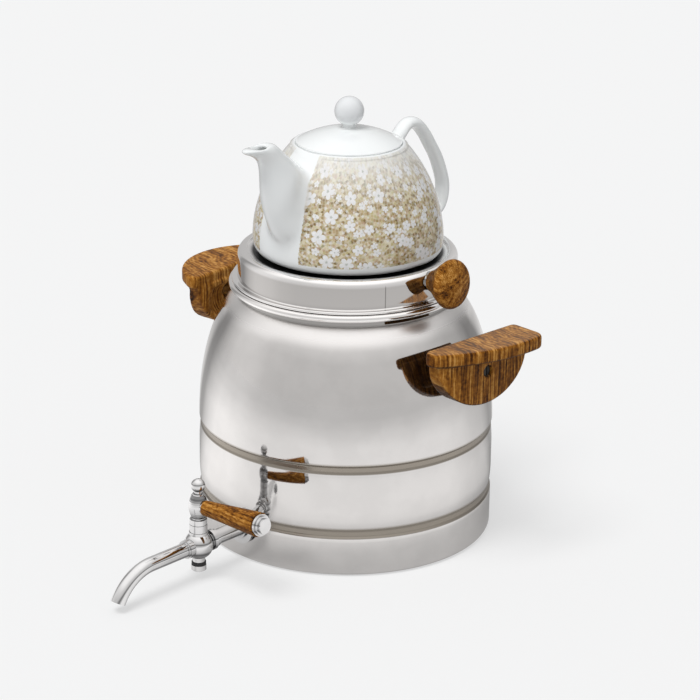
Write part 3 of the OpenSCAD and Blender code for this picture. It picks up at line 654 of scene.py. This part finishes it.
def close_surface(graph, sockets):
    shader = graph.add("BsdfPrincipled", sockets)
    graph.add("OutputMaterial", {"Surface": shader.outputs[0]})


def object_place(graph):
    return graph.add("TexCoord").outputs["Object"]


# How many waves of the drawn sheet fit in a metre
WAVE_SCALE = 9.0


def metal(name, colour, rough_low, rough_high, blotch=18.0, wave=0.0, detail=None):
    """Polished or plain metal, with soft patches of haze and a little waviness of the sheet.

    blotch is the number of patches in a metre, and wave the height of the sheet's waves in metres.
    detail(g, place, colour, rough) may change the colour and roughness in places."""
    material, g = new_material(name)
    place = object_place(g)
    haze = g.noise(place, blotch, 4)
    rough = g.span(haze, 0.3, 0.7, rough_low, rough_high)
    tint = tuple(c * 0.95 for c in colour) + (1,)
    shade_colour = g.mix(g.span(g.noise(place, blotch * 2.3, 3), 0.35, 0.65), colour + (1,), tint)
    if detail:
        shade_colour, rough = detail(g, place, shade_colour, rough)
    sockets = {"Base Color": shade_colour, "Metallic": 1.0, "Roughness": rough}
    if wave:
        height = g.noise(place, WAVE_SCALE, 1)
        bump = g.add("Bump", {"Strength": 1.0, "Distance": wave, "Height": height})
        sockets["Normal"] = bump.outputs[0]
    close_surface(g, sockets)
    return material


def distance_from(g, x, y):
    """Distance of (x, y) from (0, 0)."""
    return g.math("SQRT", g.math("ADD", g.math("MULTIPLY", x, x), g.math("MULTIPLY", y, y)))


def outward_share(g, place, normal):
    """1 where a surface faces straight away from the upright axis, and -1 where it faces the axis."""
    split = g.axes(place)
    level = g.add("CombineXYZ", {"X": split[0], "Y": split[1]}).outputs[0]
    outward = g.add("VectorMath", {0: level}, operation="NORMALIZE").outputs[0]
    return g.add("VectorMath", {0: normal, 1: outward}, operation="DOT_PRODUCT").outputs["Value"]


# Painted highlights and painted shade that the metals take in places, the colour of the lid's seam, and
# how much rougher steel is there
GROOVE_PAINTED_SHADE_STEEL = (0.36, 0.325, 0.28, 1)
DOME_PAINTED_HIGHLIGHT_STEEL = (0.97, 0.955, 0.945, 1)
LID_PAINTED_HIGHLIGHT_STEEL = (0.98, 0.97, 0.965, 1)
NECK_PAINTED_SHADE_STEEL = (0.40, 0.39, 0.38, 1)
LID_WALL_PAINTED_SHADE_STEEL = (0.60, 0.583, 0.57, 1)
SEAM_STEEL = (0.33, 0.32, 0.31, 1)
RECESS_PAINTED_SHADE_STEEL = (0.02, 0.02, 0.02, 1)
CHROME_PAINTED_SHADE = (0.03, 0.03, 0.032, 1)
GROOVE_ROUGHER = 0.22
NECK_RING_ROUGHER = 0.3
RECESS_ROUGHER = 0.3

# The seam's half width and its soft edge, in radians
SEAM_HALF = 0.0035
SEAM_EDGE = 0.003


def drum_shades(g, place, colour, rough):
    """Rougher grooves with painted shade, a painted highlight on the dome top, rougher steel round the
    neck, and painted shade on the neck under the bead.
    """
    x, y, z = g.axes(place)
    away = distance_from(g, x, y)
    neck_r = MOUTH_R + SHEET
    mouth_z = box_mm("kettle_dome")[1].z - BEAD_R
    dome_z = mouth_z - NECK_H

    # Painted shade in the grooves, which are also rougher
    satin_and_shade = None
    for low in (GROOVE_LOW_Z, box_mm("kettle_body")[1].z - GROOVE_GAP - GROOVE_H):
        rise = g.span(z, (low - 0.3) * MM, (low + 0.9) * MM)
        fall = g.span(z, (low + GROOVE_H + 1.6) * MM, (low + GROOVE_H - 1.0) * MM)
        strip = g.product(rise, fall)
        satin_and_shade = strip if satin_and_shade is None else g.math("ADD", satin_and_shade, strip)
    shaded = g.mix(satin_and_shade, colour, GROOVE_PAINTED_SHADE_STEEL)
    rough = g.math("ADD", rough, g.math("MULTIPLY", satin_and_shade, GROOVE_ROUGHER))

    # Painted highlight on the dome top
    shaded = g.mix(g.span(z, (dome_z - 16) * MM, (dome_z - 8) * MM), shaded, DOME_PAINTED_HIGHLIGHT_STEEL)
    above = g.span(z, (dome_z - 12) * MM, (dome_z - 9) * MM)
    below = g.span(z, (dome_z + 0.6) * MM, (dome_z + 0.2) * MM)
    ring = g.product(g.span(away, (neck_r + 14) * MM, (neck_r + 5) * MM), above, below)
    rough = g.math("ADD", rough, g.math("MULTIPLY", ring, NECK_RING_ROUGHER))

    # Painted shade on the neck under the bead
    above = g.span(z, (dome_z - 1.5) * MM, (dome_z + 0.3) * MM)
    below = g.span(z, (mouth_z + 0.5) * MM, (mouth_z - 0.5) * MM)
    neck = g.product(g.span(away, (neck_r + 2.2) * MM, (neck_r + 0.6) * MM), above, below)
    return g.mix(neck, shaded, NECK_PAINTED_SHADE_STEEL), rough


def lid_shades(g, place, colour, rough):
    """Painted highlights on the lid's shoulder and flange, painted shade on its wall, one fine upright
    seam, and painted shade in the recess.
    """
    lo, hi = box_mm("lid_shell")
    x, y, z = g.axes(place)
    away = distance_from(g, x, y)
    flange_z = lo.z + FLANGE_H
    shoulder_z = hi.z - LID_SHOULDER
    lid_r = MOUTH_R - LID_PLAY + SHEET

    # Painted shade on the wall, between the flange and the shoulder
    above = g.span(z, (flange_z + 0.2) * MM, (flange_z + 1.2) * MM)
    below = g.span(z, (shoulder_z + 1.5) * MM, (shoulder_z - 1.5) * MM)
    wall = g.product(above, below, g.span(away, (lid_r - 2.2) * MM, (lid_r - 1.5) * MM))
    # Painted highlights on the shoulder and the flange
    shoulder = g.span(z, (shoulder_z - 0.6) * MM, (shoulder_z + 0.6) * MM)
    flange = g.span(z, (flange_z + 1.0) * MM, (flange_z + 0.4) * MM)
    shaded = g.mix(g.math("MAXIMUM", shoulder, flange), colour, LID_PAINTED_HIGHLIGHT_STEEL)
    shaded = g.mix(wall, shaded, LID_WALL_PAINTED_SHADE_STEEL)

    turn = g.math("ARCTAN2", x, g.math("MULTIPLY", y, -1.0))
    off_seam = g.math("ABSOLUTE", g.math("SUBTRACT", turn, math.radians(LID_SEAM)))
    seam = g.product(g.span(off_seam, SEAM_HALF + SEAM_EDGE, SEAM_HALF), wall)
    shaded = g.mix(seam, shaded, SEAM_STEEL)

    # Painted shade in the recess under the teapot, which is also rougher
    inside = g.span(away, (RECESS_R - 1.4) * MM, (RECESS_R - RECESS_FADE) * MM)
    recess = g.product(inside, g.span(z, (hi.z - 0.5) * MM, (hi.z - 1.1) * MM))
    rough = g.math("ADD", rough, g.math("MULTIPLY", recess, RECESS_ROUGHER))
    return g.mix(recess, shaded, RECESS_PAINTED_SHADE_STEEL), rough


def chrome_painted_shade(g, place, colour, rough):
    """Painted shade and painted reflections on chrome: darker in the creases between pieces, under its
    curves, along one fine line above and on the side that faces the kettle."""
    # Painted shade in the creases between pieces
    crease = g.add("AmbientOcclusion", {"Distance": 0.007}, samples=8).outputs["AO"]
    crease = g.span(crease, 0.25, 0.85, 0.22, 1.0)
    normal = g.add("TexCoord").outputs["Normal"]
    tilt = g.axes(normal)[2]
    # Painted reflections: how bright chrome is by how far it faces up, from -1 for straight down
    by_tilt = [(-1.0, 0.7), (-0.62, 0.4), (-0.4, 0.12), (-0.22, 0.75), (0.05, 1.0), (0.24, 0.95),
               (0.33, 0.22), (0.43, 0.95), (1.0, 1.0)]
    stops = [((t + 1) / 2, grey(v)) for t, v in by_tilt]
    curve = red_share(g, g.ramp(g.math("ADD", g.math("MULTIPLY", tilt, 0.5), 0.5), stops))
    # Painted shade on the side that faces the kettle
    front = g.span(outward_share(g, place, normal), -0.55, -0.05, 0.5, 1.0)
    return g.mix(g.product(crease, curve, front), CHROME_PAINTED_SHADE, colour), rough


def rubber():
    material, g = new_material("black_rubber")
    place = object_place(g)
    speck = g.noise(place, 1800, 2)
    bump = g.add("Bump", {"Strength": 0.4, "Distance": 0.00005, "Height": speck})
    colour = g.ramp(speck, [(0.3, (0.012, 0.012, 0.013, 1)), (0.7, (0.03, 0.03, 0.032, 1))])
    close_surface(g, {"Base Color": colour, "Roughness": 0.55, "Normal": bump.outputs[0]})
    return material


# Wood, by tone from the darkest streak to the palest
WOOD_TONES = [
    (0.05, (0.018, 0.006, 0.001, 1)),
    (0.25, (0.09, 0.028, 0.003, 1)),
    (0.44, (0.23, 0.082, 0.009, 1)),
    (0.62, (0.38, 0.155, 0.021, 1)),
    (0.88, (0.62, 0.32, 0.085, 1)),
]
# Painted shade for the wood's kettle side and underside
WOOD_PAINTED_SHADE = (0.016, 0.006, 0.002, 1)
# Painted sheen for the wood's upward faces
WOOD_PAINTED_SHEEN = (0.72, 0.56, 0.42, 1)
# How close the wood's rings, pores, veins and mottling lie. A higher number is closer
RINGS = 230.0
PORES_ACROSS = 900
PORES_ALONG = 34
VEINS_ACROSS = 120
VEINS_ALONG = 9
MOTTLE = 330.0


def wood(name, fibre, heart, seed, across=1.0, figure=1.0, close=1.0, base=0.52, painted_shade=0.9,
         top_sheen=0.0):
    """Oiled wood with dark streaks, painted shade on its kettle side and underneath, and a painted sheen
    on top.

    fibre turns the grain from vertical, heart is the middle of its rings, across below 1 draws the
    streaks out along X too, figure is the strength of the broad streaks, close above 1 sets the
    pores closer, base is the middle tone, hidden the strength of the painted shade on the kettle's
    side and the underside, and worn the strength of the painted sheen that pales the top."""
    material, g = new_material(name)
    at = object_place(g)
    place = g.add("Mapping", {"Vector": at, "Rotation": fibre}, vector_type="POINT").outputs[0]

    def stretched(shift, scale):
        return g.add("Mapping", {"Vector": place, "Location": shift, "Scale": scale}).outputs[0]

    sway = g.noise(stretched((seed, 0, 0), (26, 26, 5)), 1.0, 3, 0.55)
    split = g.axes(place)
    beside_heart = g.math("SUBTRACT", split[0], heart[0])
    before_heart = g.math("SUBTRACT", split[1], heart[1])
    away = distance_from(g, beside_heart, before_heart)
    ring = g.math("ADD", g.math("MULTIPLY", away, RINGS), g.math("MULTIPLY", sway, 5.5))
    wide = g.math("SINE", g.math("MULTIPLY", ring, 2.1))
    narrow = g.math("SINE", g.math("ADD", g.math("MULTIPLY", ring, 7.3), g.math("MULTIPLY", sway, 9)))
    fine_scale = (PORES_ACROSS * across * close, PORES_ACROSS * close, PORES_ALONG * close)
    pores = g.noise(stretched((seed, seed, 0), fine_scale), 1.0, 3, 0.6)
    broad_scale = (VEINS_ACROSS * across, VEINS_ACROSS, VEINS_ALONG)
    veins = g.noise(stretched((0, seed, 0), broad_scale), 1.0, 4, 0.62, 0.4)
    mottle = g.noise(place, MOTTLE, 3, 0.6)
    tone = g.math("ADD", g.math("MULTIPLY", wide, 0.09), g.math("MULTIPLY", narrow, 0.10))
    for pattern, strength in ((veins, figure), (mottle, 0.7), (pores, 1.35)):
        tone = g.math("ADD", tone, g.math("MULTIPLY", g.math("SUBTRACT", pattern, 0.5), strength))
    tone = g.math("ADD", tone, base, clamp=True)
    colour = g.ramp(tone, WOOD_TONES)

    # Painted shade on the side that faces the kettle and underneath
    normal = g.add("TexCoord").outputs["Normal"]
    tilt = g.axes(normal)[2]
    inner = g.span(outward_share(g, at, normal), -0.05, -0.42)
    dark = g.math("MAXIMUM", inner, g.span(tilt, -0.25, -0.65))
    colour = g.mix(g.math("MULTIPLY", dark, painted_shade), colour, WOOD_PAINTED_SHADE)
    # Painted sheen: the upward faces are paler
    colour = g.mix(g.span(tilt, 0.6, 0.95, 0.0, top_sheen), colour, WOOD_PAINTED_SHEEN)
    bump = g.add("Bump", {"Strength": 0.5, "Distance": 0.00012, "Height": tone})
    rough = g.span(pores, 0.3, 0.7, 0.62, 0.46)
    close_surface(g, {"Base Color": colour, "Roughness": rough, "Normal": bump.outputs[0],
                      "Specular IOR Level": 0.12})
    return material


GLAZE_SHADE = (0.90, 0.92, 0.92, 1)
GLAZE_LIGHT = (0.93, 0.945, 0.94, 1)
GLAZE_BALL = (0.80, 0.81, 0.82, 1)


def porcelain(name, printed):
    """White glaze with a faint cool tone and a darker ball, plain or with the print on the body."""
    material, g = new_material(name)
    place = object_place(g)
    glaze = g.mix(g.span(g.noise(place, 30, 2), 0.3, 0.7), GLAZE_SHADE, GLAZE_LIGHT)
    on_ball = g.span(g.axes(place)[2], BALL_LOW_Z * MM, (BALL_LOW_Z + 3) * MM)
    glaze = g.mix(on_ball, glaze, GLAZE_BALL)
    colour = blossom_print(g, place, glaze) if printed else glaze
    ripple = g.add("Bump", {"Strength": 0.06, "Distance": 0.0002, "Height": g.noise(place, 160, 2)})
    close_surface(g, {"Base Color": colour, "Roughness": 0.16, "Normal": ripple.outputs[0],
                      "Coat Weight": 0.6, "Coat Roughness": 0.04})
    return material


# Where the print on the teapot starts and ends: heights in millimetres, and gaps in degrees from the
# middle of the spout and of the handle
PRINT_LOW_Z = 231.2
PRINT_FADE_Z = 262.0
PRINT_PALE_Z = 295.0
PRINT_TOP_Z = 309.0
PRINT_SPOUT_GAP = 12.0
PRINT_GAP_WIDER = 2.4
PRINT_GAP_WIDEST_Z = 268.0
PRINT_GAP_REACH = 34.0
PRINT_LEFT_GAP = 23.0
PRINT_EAR_GAP = 14.0

# The print's colours
LEAF_TONES = [
    (0.0, (0.20, 0.125, 0.03, 1)),
    (0.28, (0.36, 0.25, 0.085, 1)),
    (0.5, (0.50, 0.36, 0.20, 1)),
    (0.75, (0.55, 0.46, 0.22, 1)),
    (1.0, (0.76, 0.68, 0.50, 1)),
]
LEAF_EDGE = (0.80, 0.75, 0.62, 1)
LEAF_PINK = (0.60, 0.40, 0.33, 1)
LEAF_GREEN = (0.42, 0.45, 0.26, 1)
PETAL_SHADE = (0.70, 0.69, 0.68, 1)
PETAL_LIGHT = (0.97, 0.965, 0.975, 1)
HEART = (0.40, 0.42, 0.36, 1)


def blossoms(g, wrap, per_metre, radius, shift, missing):
    """A layer of five-petalled blossoms, in most cells of a random net.

    Gives the share of petal, the share of the blossom's heart and how far off the blossom is."""
    moved = g.add("Mapping", {"Vector": wrap, "Location": shift}).outputs[0]
    cells = g.add("TexVoronoi", {"Vector": moved, "Scale": per_metre, "Randomness": 0.8},
                  voronoi_dimensions="2D")
    to_cells = (per_metre, per_metre, 0)
    here = g.add("VectorMath", {0: moved, 1: to_cells}, operation="MULTIPLY").outputs[0]
    middle = g.add("VectorMath", {0: cells.outputs["Position"], 1: to_cells}, operation="MULTIPLY")
    arm = g.add("VectorMath", {0: here, 1: middle.outputs[0]}, operation="SUBTRACT").outputs[0]
    arm = g.axes(arm)
    luck = g.add("SeparateColor", {"Color": cells.outputs["Color"]}).outputs
    angle = g.math("ARCTAN2", arm[1], arm[0])
    turned = g.math("ADD", g.math("MULTIPLY", angle, 2.5), g.math("MULTIPLY", luck[0], 6.28))
    lobes = g.math("POWER", g.math("ABSOLUTE", g.math("COSINE", turned)), 0.5)
    outline = g.math("ADD", g.math("MULTIPLY", lobes, 0.58), 0.42)
    size = g.span(luck[1], 0.0, 1.0, 0.74, 1.1)
    reach = g.product(size, radius * per_metre, outline)
    away = g.math("ADD", cells.outputs["Distance"], g.math("MULTIPLY", g.noise(wrap, 900, 2), 0.07))
    share = g.math("DIVIDE", away, reach)
    shown = g.math("GREATER_THAN", luck[2], missing)
    petal = g.product(g.span(share, 1.05, 0.93), shown)
    heart = g.product(g.span(share, 0.34, 0.2), shown)
    clear = g.math("MAXIMUM", g.span(share, 1.0, 1.3), g.math("SUBTRACT", 1.0, shown))
    return petal, heart, clear


def all_blossoms(g, wrap):
    """Big, middle and small blossoms over one another, as shares of petal and of heart."""
    big, big_heart, big_clear = blossoms(g, wrap, 58, 0.0062, (0.31, 0.17, 0), 0.12)
    mid, mid_heart, mid_clear = blossoms(g, wrap, 108, 0.0034, (0.77, 0.43, 0), 0.45)
    small = blossoms(g, wrap, 230, 0.0016, (0.13, 0.91, 0), 0.4)[0]
    petal = g.math("MAXIMUM", big, g.product(mid, big_clear, 0.95))
    petal = g.math("MAXIMUM", petal, g.product(small, big_clear, mid_clear, 0.6))
    heart = g.math("MAXIMUM", big_heart, g.product(mid_heart, big_clear, 0.6))
    return petal, heart


def foliage(g, wrap):
    """Colour of the gold-beige ground, in small cells of many tones."""
    leaves = g.add("TexVoronoi", {"Vector": wrap, "Scale": 400, "Randomness": 1.0},
                   voronoi_dimensions="2D")
    gold = g.ramp(red_share(g, leaves.outputs["Color"]), LEAF_TONES)
    edge = g.span(leaves.outputs["Distance"], 0.25, 0.6)
    gold = g.mix(g.math("MULTIPLY", edge, 0.4), gold, LEAF_EDGE)
    hue = g.noise(g.add("Mapping", {"Vector": wrap, "Location": (0.5, 0.2, 0)}).outputs[0], 330, 2)
    gold = g.mix(g.span(hue, 0.52, 0.72, 0.0, 0.5), gold, LEAF_PINK)
    return g.mix(g.span(hue, 0.46, 0.28, 0.0, 0.5), gold, LEAF_GREEN)


def print_area(g, wrap, turn, z):
    """1 where the teapot is printed, with slightly ragged edges, and 0 elsewhere."""
    signed = g.math("MULTIPLY", turn, 180 / math.pi)
    edge = g.noise(wrap, 500, 2)
    ragged = g.math("MULTIPLY", edge, 1.5)
    ragged_z = g.math("ADD", z, g.math("MULTIPLY", edge, 0.0012))
    low = g.span(ragged_z, PRINT_LOW_Z * MM, (PRINT_LOW_Z + 0.7) * MM)
    rising = g.span(z, (PRINT_GAP_WIDEST_Z - PRINT_GAP_REACH) * MM, PRINT_GAP_WIDEST_Z * MM)
    falling = g.span(z, (PRINT_GAP_WIDEST_Z + PRINT_GAP_REACH) * MM, PRINT_GAP_WIDEST_Z * MM)
    wider = g.product(rising, falling, PRINT_GAP_WIDER)
    past_right = g.math("SUBTRACT", g.math("SUBTRACT", signed, wider), ragged)
    past_left = g.math("SUBTRACT", g.math("MULTIPLY", signed, -1.0), ragged)
    right = g.span(past_right, PRINT_SPOUT_GAP - 0.7, PRINT_SPOUT_GAP - 0.2)
    left = g.span(past_left, PRINT_LEFT_GAP - 0.7, PRINT_LEFT_GAP - 0.2)
    beside = g.math("MAXIMUM", right, left)
    back = 180 - PRINT_EAR_GAP
    behind = g.span(g.math("ABSOLUTE", signed), back, back - 1.2)
    top = g.span(z, (PRINT_TOP_Z + 0.5) * MM, (PRINT_TOP_Z - 1.5) * MM)
    pale = g.span(z, PRINT_PALE_Z * MM, (PRINT_TOP_Z - 3) * MM, 1.0, 0.75)
    on_body = g.add("Attribute", attribute_name="printed").outputs["Fac"]
    return g.product(low, beside, behind, on_body, top, pale)


def blossom_print(g, place, glaze):
    """Gold-beige foliage with white blossoms wrapped round the body, paler towards the rim."""
    x, y, z = g.axes(place)
    turn = g.math("ARCTAN2", x, g.math("MULTIPLY", y, -1.0))
    round_way = g.math("MULTIPLY", turn, POT_R * MM)
    wrap = g.add("CombineXYZ", {"X": round_way, "Y": g.math("MULTIPLY", z, 1.08)}).outputs[0]
    petal, heart = all_blossoms(g, wrap)
    area = print_area(g, wrap, turn, z)

    density = g.span(z, PRINT_FADE_Z * MM, PRINT_TOP_Z * MM, 1.0, 0.5)
    cover = g.math("ADD", g.noise(wrap, 150, 3, 0.6), g.math("MULTIPLY", density, 0.8))
    ink = g.product(g.span(cover, 0.35, 1.0), g.span(density, 0.3, 1.0, 0.4, 1.0))
    ground = g.mix(g.product(ink, area), glaze, foliage(g, wrap))
    shimmer = g.mix(g.noise(wrap, 420, 3), PETAL_SHADE, PETAL_LIGHT)
    white = g.mix(g.product(petal, area), ground, shimmer)
    return g.mix(g.product(heart, area, 0.75), white, HEART)


# Camera, light and floor

def toward_camera():
    a = math.radians(VIEW_AZIMUTH)
    e = math.radians(VIEW_ELEVATION)
    return Vector((math.sin(a) * math.cos(e), -math.cos(a) * math.cos(e), math.sin(e)))


def add_camera():
    data = bpy.data.cameras.new("photo_camera")
    data.lens = LENS
    data.sensor_width = SENSOR
    data.shift_x = AIM_LEFT_OF_MIDDLE / FRAME_PIXELS
    camera = bpy.data.objects.new("photo_camera", data)
    bpy.context.scene.collection.objects.link(camera)
    back = toward_camera()
    camera.location = VIEW_AIM + back * VIEW_DISTANCE
    camera.rotation_mode = "QUATERNION"
    level = (-back).to_track_quat("-Z", "Y")
    camera.rotation_quaternion = level @ Quaternion((0, 0, 1), math.radians(VIEW_ROLL))
    bpy.context.scene.camera = camera


# Where the lamp stands to the left of the camera and above the horizon, and how wide it is, in degrees
SUN_FROM_LEFT = 35.0
SUN_HEIGHT = 64.0
SUN_SPREAD = 28.0
SUN_STRENGTH = 1.98
SKY_STRENGTH = 0.47

# How pale floor and backdrop look, how much light the floor throws back onto the object, its radius
# in metres, and the share of its look that doesn't take the object's shadow
FLOOR_TONE = 0.9
FLOOR_BOUNCE = 0.6
FLOOR_R = 14.0
FLOOR_UNSHADED = 0.6
MIRRORED_UNSHADED = 0.5


def add_sun():
    data = bpy.data.lights.new("key", "SUN")
    data.energy = SUN_STRENGTH
    data.angle = math.radians(SUN_SPREAD)
    sun = bpy.data.objects.new("key", data)
    bpy.context.scene.collection.objects.link(sun)
    a = math.radians(VIEW_AZIMUTH - SUN_FROM_LEFT)
    e = math.radians(SUN_HEIGHT)
    away = Vector((math.sin(a) * math.cos(e), -math.cos(a) * math.cos(e), math.sin(e)))
    sun.rotation_mode = "QUATERNION"
    sun.rotation_quaternion = (-away).to_track_quat("-Z", "Y")
    sun.visible_glossy = False


# What polished metal sees of the studio, as (turn from the camera's side in degrees, brightness).
# Left is negative. Soft boxes are bright, and the dark stops are flags and the backdrop's end.
STUDIO_ROUND = [
    (-180, 0.80), (-147, 0.78), (-140, 0.45), (-132, 0.48), (-125, 0.74), (-116, 1.02), (-106, 1.22),
    (-95, 1.25), (-82, 1.20), (-70, 1.08), (-52, 1.0), (75, 1.0), (88, 0.90), (98, 0.80), (114, 0.70),
    (128, 0.42), (139, 0.46), (146, 0.88), (152, 1.0), (166, 0.9), (180, 0.80),
]

# The same for height above the horizon, in degrees
STUDIO_UP = [(-90, 0.85), (-20, 0.80), (-8, 0.66), (2, 0.60), (24, 0.62), (36, 0.74), (46, 0.90),
             (56, 1.04), (90, 1.15)]

# What polished metal sees of the floor, as (metres from the object's middle, brightness).
# The ring close to the base is the shade under the object.
FLOOR_AWAY = [(0.0, 0.55), (0.13, 0.56), (0.158, 0.62), (0.19, 0.84), (0.24, 0.90), (0.45, 0.86),
              (0.6, 0.76), (0.9, 0.66), (1.5, 0.6)]


def studio_round(g, x, y):
    """Brightness of the studio in the level direction of (x, y)."""
    a = math.radians(VIEW_AZIMUTH)
    ahead = g.math("SUBTRACT", g.math("MULTIPLY", x, math.sin(a)), g.math("MULTIPLY", y, math.cos(a)))
    right = g.math("ADD", g.math("MULTIPLY", x, math.cos(a)), g.math("MULTIPLY", y, math.sin(a)))
    turn = g.math("DIVIDE", g.math("ARCTAN2", right, ahead), 2 * math.pi)
    # A ramp's colours end at 1, so it holds half the brightness
    stops = [((deg + 180) / 360, grey(v / 2)) for deg, v in STUDIO_ROUND]
    half = red_share(g, g.ramp(g.math("ADD", turn, 0.5), stops))
    return g.math("MULTIPLY", half, 2.0)


def seen_directly(g, rays):
    """1 for rays that show floor or backdrop to the camera, straight or through something clear."""
    return g.math("MAXIMUM", rays.outputs["Is Camera Ray"], rays.outputs["Is Transmission Ray"])


def blend(g, factor, first, second):
    """From the first shader at factor 0 to the second at factor 1."""
    return g.add("MixShader", {0: factor, 1: first.outputs[0], 2: second.outputs[0]})


def add_world():
    world = bpy.data.worlds.new("studio")
    world.use_nodes = True
    bpy.context.scene.world = world
    g = Graph(world.node_tree)
    rays = g.add("LightPath")
    x, y, z = g.axes(g.add("TexCoord").outputs["Generated"])
    around = studio_round(g, x, y)
    height = g.math("DIVIDE", g.math("ARCSINE", z), math.pi)
    stops = [((deg + 90) / 180, grey(v)) for deg, v in STUDIO_UP]
    up = red_share(g, g.ramp(g.math("ADD", height, 0.5), stops))
    fade = g.span(z, 0.45, 0.9)
    around = g.math("ADD", g.math("MULTIPLY", around, g.math("SUBTRACT", 1.0, fade)), fade)
    seen = g.math("MULTIPLY", around, up)
    plain = g.add("Background", {"Color": (0.97, 0.985, 1.0, 1), "Strength": SKY_STRENGTH})
    shiny = g.add("Background", {"Color": (1.0, 0.985, 0.975, 1), "Strength": seen})
    backdrop = g.add("Background", {"Color": grey(1.0), "Strength": FLOOR_TONE})
    lit = blend(g, rays.outputs["Is Glossy Ray"], plain, shiny)
    final = blend(g, seen_directly(g, rays), lit, backdrop)
    g.add("OutputWorld", {"Surface": final.outputs[0]})


def add_floor():
    """Pale floor that keeps a soft shadow. Polished metal sees it fall off away from the object."""
    bpy.ops.mesh.primitive_circle_add(vertices=128, radius=FLOOR_R, fill_type="NGON",
                                      location=(0, 0, -0.0002))
    floor = bpy.context.object
    floor.name = "studio_floor"
    material, g = new_material("studio_floor")
    rays = g.add("LightPath")
    place = object_place(g)
    x, y, _ = g.axes(place)
    around = studio_round(g, x, y)
    away = g.add("VectorMath", {0: place}, operation="LENGTH").outputs["Value"]
    far = g.ramp(g.math("DIVIDE", away, 2.0), [(metres / 2, grey(v)) for metres, v in FLOOR_AWAY])
    seen = g.math("MULTIPLY", red_share(g, far), around)
    seen_colour = g.add("CombineColor", {0: seen, 1: g.math("MULTIPLY", seen, 0.985),
                                         2: g.math("MULTIPLY", seen, 0.975)}).outputs[0]

    def partly_glowing(share, colour):
        shaded = g.add("BsdfDiffuse", {"Color": colour})
        return blend(g, share, shaded, g.add("Emission", {"Color": colour}))

    mirrored = partly_glowing(MIRRORED_UNSHADED, seen_colour)
    shown = partly_glowing(FLOOR_UNSHADED, grey(FLOOR_TONE))
    bounce = g.add("BsdfDiffuse", {"Color": grey(FLOOR_BOUNCE)})
    plain = blend(g, seen_directly(g, rays), bounce, shown)
    final = blend(g, rays.outputs["Is Glossy Ray"], plain, mirrored)
    g.add("OutputMaterial", {"Surface": final.outputs[0]})
    floor.data.materials.append(material)


# Dressing

def dress(piece, material):
    piece.data.materials.clear()
    piece.data.materials.append(material)


def dress_node(name, material):
    node = frame["nodes"][name]
    while len(node.material_slots) < 1:
        node.data.materials.append(None)
    for slot in node.material_slots:
        slot.material = material


STEEL = (0.80, 0.785, 0.775)
steel = metal("polished_steel", STEEL, 0.045, 0.075)
kettle_steel = metal("kettle_steel", STEEL, 0.05, 0.08, wave=0.00006, detail=drum_shades)
lid_steel = metal("lid_steel", STEEL, 0.045, 0.07, wave=0.00004, detail=lid_shades)
chrome = metal("bright_chrome", (0.86, 0.86, 0.865), 0.02, 0.04, blotch=60, detail=chrome_painted_shade)
# Dark steel for the handle screws and washers: painted shade for the deep holes they sit in
screw_shade_steel = metal("screw_painted_shade_steel", (0.045, 0.042, 0.04), 0.35, 0.5, blotch=300)
fastener = metal("plain_steel", (0.56, 0.555, 0.55), 0.25, 0.38, blotch=220)
brass = metal("turned_brass", (0.72, 0.52, 0.22), 0.22, 0.34, blotch=260)
aluminium = metal("plain_aluminium", (0.70, 0.70, 0.71), 0.35, 0.5, blotch=120)
black = rubber()
glaze = porcelain("white_porcelain", printed=False)
print_glaze = porcelain("printed_porcelain", printed=True)
upright = (0, 0, 0)
handle_wood = wood("handle_wood", upright, (0.20, 0.45), 3.1,
                   across=0.1, base=0.48, painted_shade=0.75, top_sheen=0.12)
left_wood = wood("left_handle_wood", upright, (-0.24, -0.40), 11.7,
                 across=0.14, base=0.57, painted_shade=0.0, top_sheen=0.02)
knob_wood = wood("knob_wood", (0, math.radians(70), 0), (0.05, 0.12), 5.3,
                 figure=0.8, close=1.3, painted_shade=0.5)
grip_wood = wood("lever_wood", (0, math.radians(86), 0), (0.02, -0.22), 8.9,
                 figure=0.5, close=1.6, base=0.5, painted_shade=0.3)

plain_materials = {
    "polished_steel": steel,
    "steel_fastener": fastener,
    "chrome": chrome,
    "wood": handle_wood,
    "brass": brass,
    "porcelain": glaze,
    "rubber": black,
    "aluminium": aluminium,
}

add_camera()
add_sun()
add_world()
add_floor()

for part in frame["record"]["subparts"]:
    dress_node(part["node"], plain_materials[part["material_slot"]])
# The screws and washers take dark steel as painted shade of their holes
dress_node("handle_screws", screw_shade_steel)
dress_node("handle_washers", screw_shade_steel)
dress_node("lever_grip", grip_wood)
dress_node("lid_knob", knob_wood)

shell = kettle_shell()
dress(shell, kettle_steel)
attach(shell, "kettle")
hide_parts("kettle_body", "kettle_dome")

lid = lid_shell()
dress(lid, lid_steel)
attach(lid, "lid")
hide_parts("lid_shell")

pot = teapot()
dress(pot, print_glaze)
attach(pot, "teapot")
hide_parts("teapot_body")

pot_lid = teapot_lid()
dress(pot_lid, glaze)
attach(pot_lid, "teapot_lid")
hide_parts("teapot_lid")

for side, material, reach, steps in (("right", handle_wood, 3, 12), ("left", left_wood, 9, 90)):
    node = side + "_handle"
    handle = copy_of(side + "_wooden_handle", node)
    corners = concave_points(handle.data, 20, 0)
    remesh(handle, 0.8, 3)
    soften_near(handle, corners, reach, steps)
    dress(handle, material)
    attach(handle, "kettle")
    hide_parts(node)

bpy.context.scene.view_settings.view_transform = "Standard"
